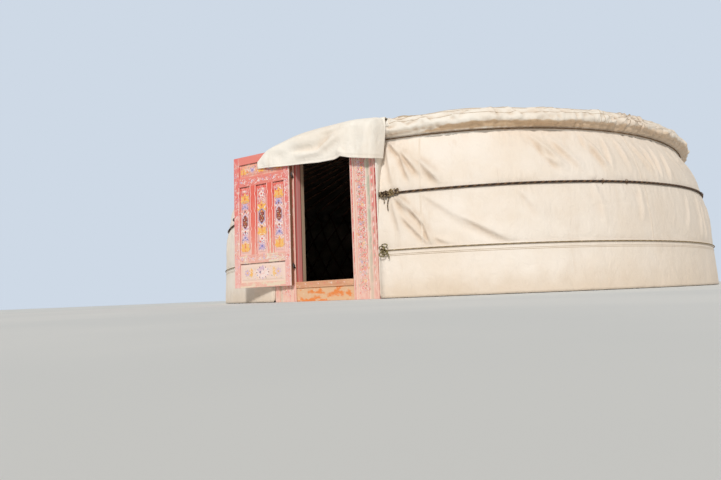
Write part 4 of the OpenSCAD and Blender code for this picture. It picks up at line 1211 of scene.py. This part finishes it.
def stroke(points, width):
    """Closed outline of a thin brush stroke along points, thinner at its ends."""
    line = np.array(points)
    step = np.gradient(line, axis=0)
    step /= np.linalg.norm(step, axis=1)[:, None] + 1e-9
    side = np.stack([-step[:, 1], step[:, 0]], axis=1)
    half = (width / 2 * (0.35 + 0.65 * np.sin(math.pi * np.linspace(0, 1, len(line)))))[:, None]
    return [tuple(p) for p in line + side * half] + [tuple(p) for p in (line - side * half)[::-1]]


def scroll(u, z, size, side, up=1, steps=9):
    """Points of a spiral tendril."""
    points = []
    for i in range(steps + 1):
        turn = i / steps * 1.6 * math.pi
        reach = size * (1 - 0.72 * i / steps)
        points.append((u + side * (size - reach * math.cos(turn)), z + up * reach * math.sin(turn)))
    return points


class Painter:
    """Draws motifs on one face of something, with one Paint for each colour."""

    def __init__(self, paints, lay, lift=0.0):
        self.paints, self.lay, self.lift = paints, lay, lift
        self.count = 0

    def put(self, colour, outline, level=1):
        """A shape on top of those of lower level; small steps keep tops from lying in one plane."""
        self.count = (self.count + 1) % 13
        top = self.lift + 0.0004 * (1 + level) + 0.00003 * self.count
        self.paints[colour].shape(outline, self.lay, self.lift, top)

    def curl(self, colour, u, z, size, width, side, up=1, level=1):
        self.put(colour, stroke(scroll(u, z, size, side, up), width), level)

    def tendrils(self, u, z, size, colour, up=1):
        for side in (-1, 1):
            self.curl(colour, u, z, size, size * 0.24, side, up, 2)

    def palmette(self, u, z, width, height, colour, centre, up=1):
        base = 0 if up > 0 else 180
        for turn, long in ((0, 1.0), (-34, 0.86), (34, 0.86), (-68, 0.62), (68, 0.62)):
            self.put(colour, petal(u, z - up * height * 0.42, height * long, width * 0.34, base + turn))
        self.put(centre, petal(u, z - up * height * 0.30, height * 0.42, width * 0.16, base), 3)
        self.put(centre, disc(u, z - up * height * 0.44, width * 0.22, height * 0.16), 3)

    def flower(self, u, z, size, colour, centre, petals):
        for i in range(petals):
            self.put(colour, petal(u, z, size / 2, size * 0.30, i * 360 / petals))
        self.put(centre, disc(u, z, size * 0.30, size * 0.30, 8), 3)

    def medallion(self, u, z, width, height, border):
        """Six-sided field with a border, filled with a net of small lozenges."""
        def field(share):
            half, top = width / 2 * share, height / 2 * share
            neck = 0.55 * top
            return [
                (u, z - top), (u + half, z - neck), (u + half, z + neck),
                (u, z + top), (u - half, z + neck), (u - half, z - neck)
            ]

        for level, (colour, share) in enumerate((("white", 1.0), (border, 0.93), ("dark", 0.78))):
            self.put(colour, field(share), level + 1)
        for row in range(-3, 4):
            for column in range(-1, 2):
                aside = (column + 0.5 * (row % 2)) * 0.26
                if abs(aside) > 0.36 or abs(row) == 3 and aside != 0:
                    continue
                colour = ("ochre", "white", "coral")[(row + 2 * column) % 3]
                place = (u + aside * width, z + row * height * 0.115)
                self.put(colour, lens(*place, width * 0.13, height * 0.085), 4)
        for side, turn in ((-1, 180), (1, 0)):
            self.put("dark", petal(u, z + side * height * 0.52, height * 0.14, width * 0.22, turn), 3)

    def motif(self, name, u, z, width):
        if name == "yellow":
            self.palmette(u, z - 0.01, width * 1.25, 0.118, "yellow", "ochre")
            self.palmette(u, z - 0.026, width, 0.080, "yellow", "coral", -1)
            self.tendrils(u, z + 0.060, 0.022, "white")
        elif name == "blue":
            self.flower(u, z, 0.100, "lilac", "blue", 7)
            self.tendrils(u, z + 0.040, 0.022, "blue")
            self.tendrils(u, z - 0.040, 0.022, "white", -1)
            for side in (-1, 1):
                self.put("blue", petal(u + side * 0.018, z - 0.012, 0.040, 0.015, side * 130), 3)
        elif name == "white":
            self.flower(u, z, 0.086, "white", "coral", 5)
            self.tendrils(u, z + 0.040, 0.024, "white")
            self.tendrils(u, z - 0.040, 0.024, "white", -1)
            self.put("lilac", disc(u - 0.026, z + 0.03, 0.018, 0.018, 8), 3)
            self.put("coral", disc(u + 0.026, z - 0.03, 0.018, 0.018, 8), 3)
        else:
            self.medallion(u, z, width * 0.80, 0.205, "blue" if name == "ringed" else "lilac")
            for side in (-1, 1):
                for up in (-1, 1):
                    corner = (u + side * width * 0.30, z + up * 0.082)
                    self.put("white", petal(*corner, 0.040, 0.016, side * (90 - up * 60)), 2)

    def filling(self, u0, u1, z0, z1, count, colours, rng):
        """Small leaves and dots between the motifs; a colour named twice is drawn twice as often."""
        colours = colours.split()
        for _ in range(count):
            u = rng.uniform(u0, u1)
            z = rng.uniform(z0, z1)
            colour = colours[int(rng.integers(len(colours)))]
            size = rng.uniform(0.007, 0.017)
            if rng.random() < 0.65:
                self.put(colour, petal(u, z, 1.6 * size, 0.6 * size, rng.uniform(0, 360), 3), 0)
            else:
                self.put(colour, disc(u, z, 0.7 * size, 0.7 * size, 7), 0)


LEAF_TURN = Matrix.Rotation(-OPEN_ANGLE, 4, "Z")


def leaf_lay(side):
    """Lays (u, depth, z) on the open leaf; depth is out from the leaf's middle plane."""
    def lay(u, depth, z):
        return HINGE + LEAF_TURN @ Vector((u, side * depth, z))
    return lay


def frame_lay(sign=1):
    """Lays (u, depth, z) on the front of the frame, right of the door or left of it."""
    def lay(u, depth, z):
        return Vector((sign * u, -(FRAME_FRONT + depth), z))
    return lay


# Motifs of the tall panels from the hinge, with their share of the height from the top
PANEL_PLANS = (
    ("yellow blue dark white blue yellow", (0.13, 0.27, 0.46, 0.62, 0.72, 0.86)),
    ("white yellow ringed yellow white blue", (0.12, 0.30, 0.46, 0.655, 0.80, 0.91)),
    ("yellow blue dark white blue yellow", (0.14, 0.28, 0.52, 0.67, 0.76, 0.88))
)
PANEL_MARGIN = 0.018


def scalloped_edge(painter, u, side):
    """White border of a muntin: long straight runs with ogee necks between them."""
    steps, bays = 60, 4
    points = []
    for i in range(steps + 1):
        share = i / steps
        phase = (share * bays) % 1 - 0.5
        neck = 0.010 * math.exp(-((phase / 0.085) ** 2))
        shoulder = 0.0016 * math.exp(-((phase / 0.20) ** 2))
        points.append((u - side * (neck + shoulder), Z_TALL + (Z_MID_RAIL - Z_TALL) * share))
    inner = [(x - side * 0.006, z) for x, z in points]
    painter.put("white", points + inner[::-1], 1)


def paint_tall_panels(panel):
    for i, (names, shares) in enumerate(PANEL_PLANS):
        u0 = LEAF_U1 + i * (TALL_PANEL_W + MUNTIN_W) + PANEL_MARGIN
        u1 = u0 + TALL_PANEL_W - 2 * PANEL_MARGIN
        z0, z1 = Z_TALL + 0.02, Z_MID_RAIL - 0.02
        for name, share in zip(names.split(), shares):
            panel.motif(name, (u0 + u1) / 2, z1 - (z1 - z0) * share, u1 - u0)
        rng = np.random.default_rng(90 + i)
        colours = "white white white lilac yellow coral white blue"
        panel.filling(u0 + 0.008, u1 - 0.008, Z_TALL + 0.045, Z_MID_RAIL - 0.05, 300, colours, rng)
        low, high = Z_TALL + 0.04, Z_MID_RAIL - 0.04
        for edge, inside in ((u0, u0 + 0.004), (u1, u1 - 0.004)):
            panel.put("white", [(edge, low), (inside, low), (inside, high), (edge, high)], 0)


def paint_leaf_frame(rail, middle):
    """Stiles, rails and muntins of the leaf."""
    for i in (1, 2):
        u0 = LEAF_U1 + i * TALL_PANEL_W + (i - 1) * MUNTIN_W
        scalloped_edge(rail, u0 + 0.004, -1)
        scalloped_edge(rail, u0 + MUNTIN_W - 0.004, 1)
    scalloped_edge(rail, LEAF_U1 - 0.004, 1)
    scalloped_edge(rail, LEAF_U2 + 0.004, -1)
    for z in np.arange(LEAF_LOW + 0.12, LEAF_HIGH - 0.06, 0.085):
        flip = 1 if int(z / 0.085) % 2 else -1
        rail.curl("white", LEAF_U0 + STILE_W / 2, z, 0.020, 0.0055, flip)
        rail.curl("white", LEAF_U0 + STILE_W / 2, z, 0.016, 0.0045, -flip, -1)
    rng = np.random.default_rng(71)
    for u0, u1, z0, z1, count in (
        (LEAF_U0 + 0.008, LEAF_U1 - 0.008, LEAF_LOW + 0.02, LEAF_HIGH - 0.02, 120),
        (LEAF_U2 + 0.008, LEAF_W - 0.008, LEAF_LOW + 0.02, LEAF_HIGH - 0.10, 90),
        (LEAF_U1, LEAF_U2, Z_MID_RAIL + 0.012, Z_TOP_PANEL - 0.012, 110),
        (LEAF_U1, LEAF_U2, Z_LOW_RAIL + 0.012, Z_TALL - 0.012, 130)
    ):
        rail.filling(u0, u1, z0, z1, count, "white white lilac coral", rng)
    for z in np.arange(LEAF_LOW + 0.10, LEAF_HIGH - 0.06, 0.098):
        flip = 1 if int(z / 0.098) % 2 else -1
        rail.curl("white", LEAF_W - STILE_W / 2, z, 0.018, 0.005, flip)
        rail.put("lilac", disc(LEAF_W - STILE_W / 2 - flip * 0.012, z + 0.03, 0.010, 0.012, 7), 2)
    for z in (Z_MID_RAIL + 0.052, Z_LOW_RAIL + 0.048):
        for i, u in enumerate(np.linspace(middle - 0.26, middle + 0.26, 11)):
            up = 1 if i % 2 else -1
            rail.curl("white", u, z, 0.020, 0.006, up, up)
            if i % 3 == 1:
                rail.flower(u + 0.024, z, 0.034, "lilac", "white", 5)
            if i % 3 == 2:
                rail.put("lilac", disc(u + 0.020, z - 0.014, 0.014, 0.012, 8), 2)


def paint_small_panels(panel, middle):
    """The flat panels at the top and the bottom of the leaf."""
    z = Z_TOP_PANEL + 0.078
    for i, u in enumerate(np.linspace(LEAF_U1 + 0.06, LEAF_U2 - 0.06, 9)):
        if i % 4 == 0:
            panel.palmette(u, z, 0.085, 0.085, "yellow", "coral")
        elif i % 2 == 0:
            panel.flower(u, z, 0.075, "lilac", "blue", 7)
        else:
            panel.tendrils(u, z, 0.022, "white")
            panel.put("ochre", petal(u, z - 0.03, 0.034, 0.014, 0), 2)
    rng = np.random.default_rng(70)
    for inset, z0, z1, count, colours in (
        (0.045, Z_TOP_PANEL + 0.035, LEAF_HIGH - 0.128, 170, "white lilac ochre yellow coral blue green"),
        (0.05, Z_BOTTOM_PANEL + 0.04, Z_LOW_RAIL - 0.045, 150, "white lilac yellow white green")
    ):
        panel.filling(LEAF_U1 + inset, LEAF_U2 - inset, z0, z1, count, colours, rng)
    z = (Z_BOTTOM_PANEL + Z_LOW_RAIL) / 2
    panel.put("white", disc(middle, z, 0.190, 0.140))
    panel.flower(middle, z, 0.165, "lilac", "white", 12)
    panel.flower(middle, z, 0.105, "blue", "white", 8)
    for turn in range(0, 360, 30):
        lean = math.radians(turn)
        place = (middle + 0.082 * math.cos(lean), z + 0.060 * math.sin(lean))
        panel.put("blue" if turn % 60 else "dark", disc(*place, 0.014, 0.012, 7), 3)
    for side in (-1, 1):
        for turn in (25, 60, 120, 155):
            panel.put("yellow", petal(middle + side * 0.14, z, 0.062, 0.022, side * turn), 2)
        panel.tendrils(middle + side * 0.14, z, 0.026, "white")
        panel.flower(middle + side * 0.215, z, 0.085, "lilac", "yellow", 7)


def paint_leaf_face(paints, side):
    rail = Painter(paints, leaf_lay(side), LEAF_T / 2)
    panel = Painter(paints, leaf_lay(side), PANEL_FACE)
    middle = (LEAF_U1 + LEAF_U2) / 2
    paint_tall_panels(panel)
    paint_leaf_frame(rail, middle)
    paint_small_panels(panel, middle)


def paint_jamb(paints, sign):
    """A winding stem with flowers up the jamb, and short leaves beside it."""
    front = Painter(paints, frame_lay(sign))
    middle = 0.488
    rng = np.random.default_rng(9)
    colours = "white white white white coral yellow lilac green"
    front.filling(0.438, 0.540, 0.06, 1.60, 620, colours, rng)
    for i, z in enumerate(np.arange(0.10, 1.60, 0.062)):
        flip = 1 if i % 2 else -1
        front.curl("white", middle, z, 0.026, 0.0055, flip)
        front.curl("green", middle, z + 0.030, 0.020, 0.0045, -flip, -1, 2)
        colour = ("coral", "yellow", "lilac", "coral", "blue", "coral")[i % 6]
        front.flower(middle + flip * 0.016, z + 0.014, 0.034, colour, "white", 5)
        front.put("coral", petal(middle - flip * 0.022, z - 0.006, 0.026, 0.011, flip * 40), 2)
        front.put("green", petal(middle + flip * 0.034, z + 0.034, 0.022, 0.010, -flip * 60), 2)
        front.put("white", disc(middle - flip * 0.034, z + 0.036, 0.012, 0.012, 8), 2)
        if i % 3 == 0:
            front.put("dark", disc(middle + rng.uniform(-0.03, 0.03), z + 0.03, 0.010, 0.010, 6), 4)
    for z in np.arange(0.12, 1.58, 0.115):
        front.curl("white", 0.384, z, 0.010, 0.004, 1)
        front.put("white", petal(0.618, z, 0.050, 0.010, 8), 2)
        front.put("green", petal(0.618, z + 0.05, 0.040, 0.009, -10), 2)


def paint_sill(paints):
    front = Painter(paints, frame_lay())
    for i, u in enumerate(np.arange(-0.33, 0.34, 0.082)):
        front.curl("white" if i % 2 else "coral", u, SILL_Z - 0.030, 0.012, 0.005, 1)


# Each paint where it is fresh and where it has faded
PAINT_COLOURS = {
    "yellow": ((246, 176, 70), (242, 206, 150)), "ochre": ((238, 150, 58), (240, 196, 146)),
    "blue": ((122, 124, 186), (206, 186, 200)), "lilac": ((196, 168, 204), (234, 204, 206)),
    "white": ((246, 236, 230), (242, 206, 198)), "dark": ((120, 56, 46), (160, 98, 80)),
    "coral": ((222, 84, 78), (236, 150, 140)), "green": ((170, 172, 144), (214, 204, 186))
}


def make_ornament():
    materials = {
        name: ornament_material(f"ornament_{name}", linear(*fresh), linear(*faded))
        for name, (fresh, faded) in PAINT_COLOURS.items()
    }
    leaf, door_frame = ({name: Paint() for name in PAINT_COLOURS} for _ in range(2))
    for side in (1, -1):
        paint_leaf_face(leaf, side)
        paint_jamb(door_frame, side)
    paint_sill(door_frame)
    for place, paints, body, slot in (
        ("leaf", leaf, "door", "panel_wood"), ("frame", door_frame, "yurt", "painted_wood")
    ):
        for name, paint in paints.items():
            if paint.verts:
                paint.make(f"{place}_ornament_{name}", materials[name], body, slot)


def dress_nodes():
    """Gives the rigid pieces, which the part's source makes, their materials."""
    rail = worn_paint("leaf_paint_level", linear(233, 136, 124), PALE_PINK, BLEACHED, "X", 0.35, 1.3)
    muntin = worn_paint(
        "muntin_paint", linear(232, 104, 88), linear(236, 160, 144), BLEACHED, "Z", 0.35, 1.15
    )
    crown = worn_paint(
        "crown_paint", linear(176, 62, 44), linear(186, 96, 66), WOOD_BROWN, "X", -1, -0.5
    )
    pole = bare_wood("pole_wood", linear(178, 138, 112), linear(116, 86, 70), "Y")
    for names, material in (
        (["door_stiles"], stile_material()),
        (["door_rails"], rail),
        (["door_muntins"], muntin),
        (["door_panels"], panel_material()),
        (["left_jamb", "right_jamb"], jamb_material()),
        (["lintel"], worn_paint("lintel_paint", CORAL, SALMON, BLEACHED, "X", 0.3, 1.0)),
        (["threshold"], sill_material()),
        (["door_hasp", "hinge_pins", "hinge_eyes"], iron_material()),
        ([f"lattice_{k}" for k in range(1, 7)], bare_wood("slat_wood", WOOD_BROWN, WOOD_DARK, "Z")),
        (["roof_poles_1", "roof_poles_2", "roof_poles_3", "door_roof_poles"], pole),
        (["crown_ring", "crown_spokes", "crown_posts"], crown)
    ):
        for name in names:
            mesh = NODES[name].data
            mesh.materials.clear()
            mesh.materials.append(material)


def make_edge_strips(material):
    """Cloth strips beside the frame, from its front round to the wall canvas."""
    z = np.linspace(0.02, 1.575, 60)[:, None]
    wall_y = -np.sqrt(wall_r(z) ** 2 - COVERED_X ** 2)
    front_y = np.minimum(-FRAME_FRONT + 0.006, wall_y) - 0.004
    ripple = 0.002 * sines(z, 5, 10, 40, np.random.default_rng(15))
    x = np.array([0.6580, 0.6600, 0.6660, 0.6715, 0.6730])[None, :] + ripple * 0.4
    y = np.concatenate([front_y + back for back in (0.020, 0.004, 0, 0.003)] + [wall_y - 0.001], axis=1)
    for side, name in ((1, "right"), (-1, "left")):
        points = np.stack(np.broadcast_arrays(side * x, y - abs(ripple), z), axis=-1)
        piece = add_grid(f"edge_cloth_{name}", points[:, ::side], material)
        thicken(piece, 0.002)
        if side > 0:
            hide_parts("edge_strips")


# Light, floor and background


def make_world():
    """Soft light from all sides, and a plain pale background where the camera sees it."""
    world = bpy.data.worlds.new("studio")
    bpy.context.scene.world = world
    world.use_nodes = True
    nodes, links = world.node_tree.nodes, world.node_tree.links
    soft = nodes["Background"]
    seen = nodes.new("ShaderNodeBackground")
    for node, colour, strength in ((soft, (1, 0.985, 0.96, 1), 0.30), (seen, linear(206, 217, 230), 1.0)):
        node.inputs["Color"].default_value = colour
        node.inputs["Strength"].default_value = strength
    path = nodes.new("ShaderNodeLightPath")
    any_ray = path.outputs["Is Camera Ray"]
    for ray in ("Is Glossy Ray", "Is Transmission Ray"):
        either = nodes.new("ShaderNodeMath")
        either.operation = "MAXIMUM"
        links.new(any_ray, either.inputs[0])
        links.new(path.outputs[ray], either.inputs[1])
        any_ray = either.outputs[0]
    mixed = nodes.new("ShaderNodeMixShader")
    for number, source in enumerate((any_ray, soft.outputs[0], seen.outputs[0])):
        links.new(source, mixed.inputs[number])
    links.new(mixed.outputs[0], nodes["World Output"].inputs["Surface"])


def make_stage():
    scene = bpy.context.scene
    scene.view_settings.view_transform = "Standard"
    make_world()
    sun = bpy.data.lights.new("key", "SUN")
    sun.energy = 2.27
    sun.angle = math.radians(9)
    sun.color = (1.0, 0.975, 0.935)
    lamp = bpy.data.objects.new("key", sun)
    lamp.rotation_mode = "QUATERNION"
    lamp.rotation_quaternion = Vector((-0.30, 0.76, -0.58)).to_track_quat("-Z", "Y")
    scene.collection.objects.link(lamp)

    floor = Tree("floor", 0.9)
    floor.finish(floor.stain(linear(230, 231, 229), linear(222, 224, 223), floor.noise(0.8), 0.3, 0.7))
    line = np.linspace(-60, 60, 12)
    mesh = grid_mesh("floor", np.stack(np.broadcast_arrays(line[None, :], line[:, None], -0.001), axis=-1))
    mesh.materials.append(floor.material)
    plane = bpy.data.objects.new("floor", mesh)
    scene.collection.objects.link(plane)


# Two colours of fibre in each rope's darker strands, and two in its lighter strands
ROPE_COLOURS = {
    "thin": ((132, 100, 68), (84, 60, 40), (166, 136, 98), (104, 78, 54)),
    "thick": ((70, 48, 32), (30, 20, 13), (206, 182, 146), (112, 90, 64)),
    "pale": ((150, 128, 90), (104, 84, 56), (196, 176, 134), (140, 118, 82)),
    "green": ((122, 110, 70), (70, 62, 38), (176, 164, 112), (116, 104, 66))
}


def main():
    make_camera()
    make_stage()
    canvas = cloth_material("wall_cloth", CREAM, foot_dirt=True)
    roof = cloth_material("roof_cloth", ROOF_CREAM, shoulder_shade=True)
    seam = cloth_material("seam_cloth", linear(238, 224, 208))
    strip = cloth_material("strip_cloth", linear(240, 234, 222), CREAM, foot_dirt=True)
    thread = cloth_material("thread_line", linear(196, 176, 150), linear(176, 154, 128))
    # Dark strips of painted shade along the roof's star creases
    crease = cloth_material("crease_shade_line", linear(158, 132, 104), linear(140, 114, 88))
    flap = cloth_material("flap_cloth", ROOF_CREAM, linear(243, 231, 216))
    felt = felt_material()
    thin, thick, pale, green = (
        (rope_material(f"{name}_rope", linear(*colours[0]), linear(*colours[1])),
         rope_material(f"{name}_rope_light", linear(*colours[2]), linear(*colours[3])))
        for name, colours in ROPE_COLOURS.items()
    )
    make_wall(canvas, felt, seam)
    make_skirt(canvas, thread)
    make_roof(roof, felt, thread)
    make_roof_creases(thread)
    make_star_creases(crease)
    make_door_roof(roof)
    make_flap(flap)
    make_crown_cloth(roof)
    make_edge_strips(strip)
    make_ropes(thin, thick, pale)
    make_knots(thin, thick, pale, green)
    dress_nodes()
    make_ornament()


main()
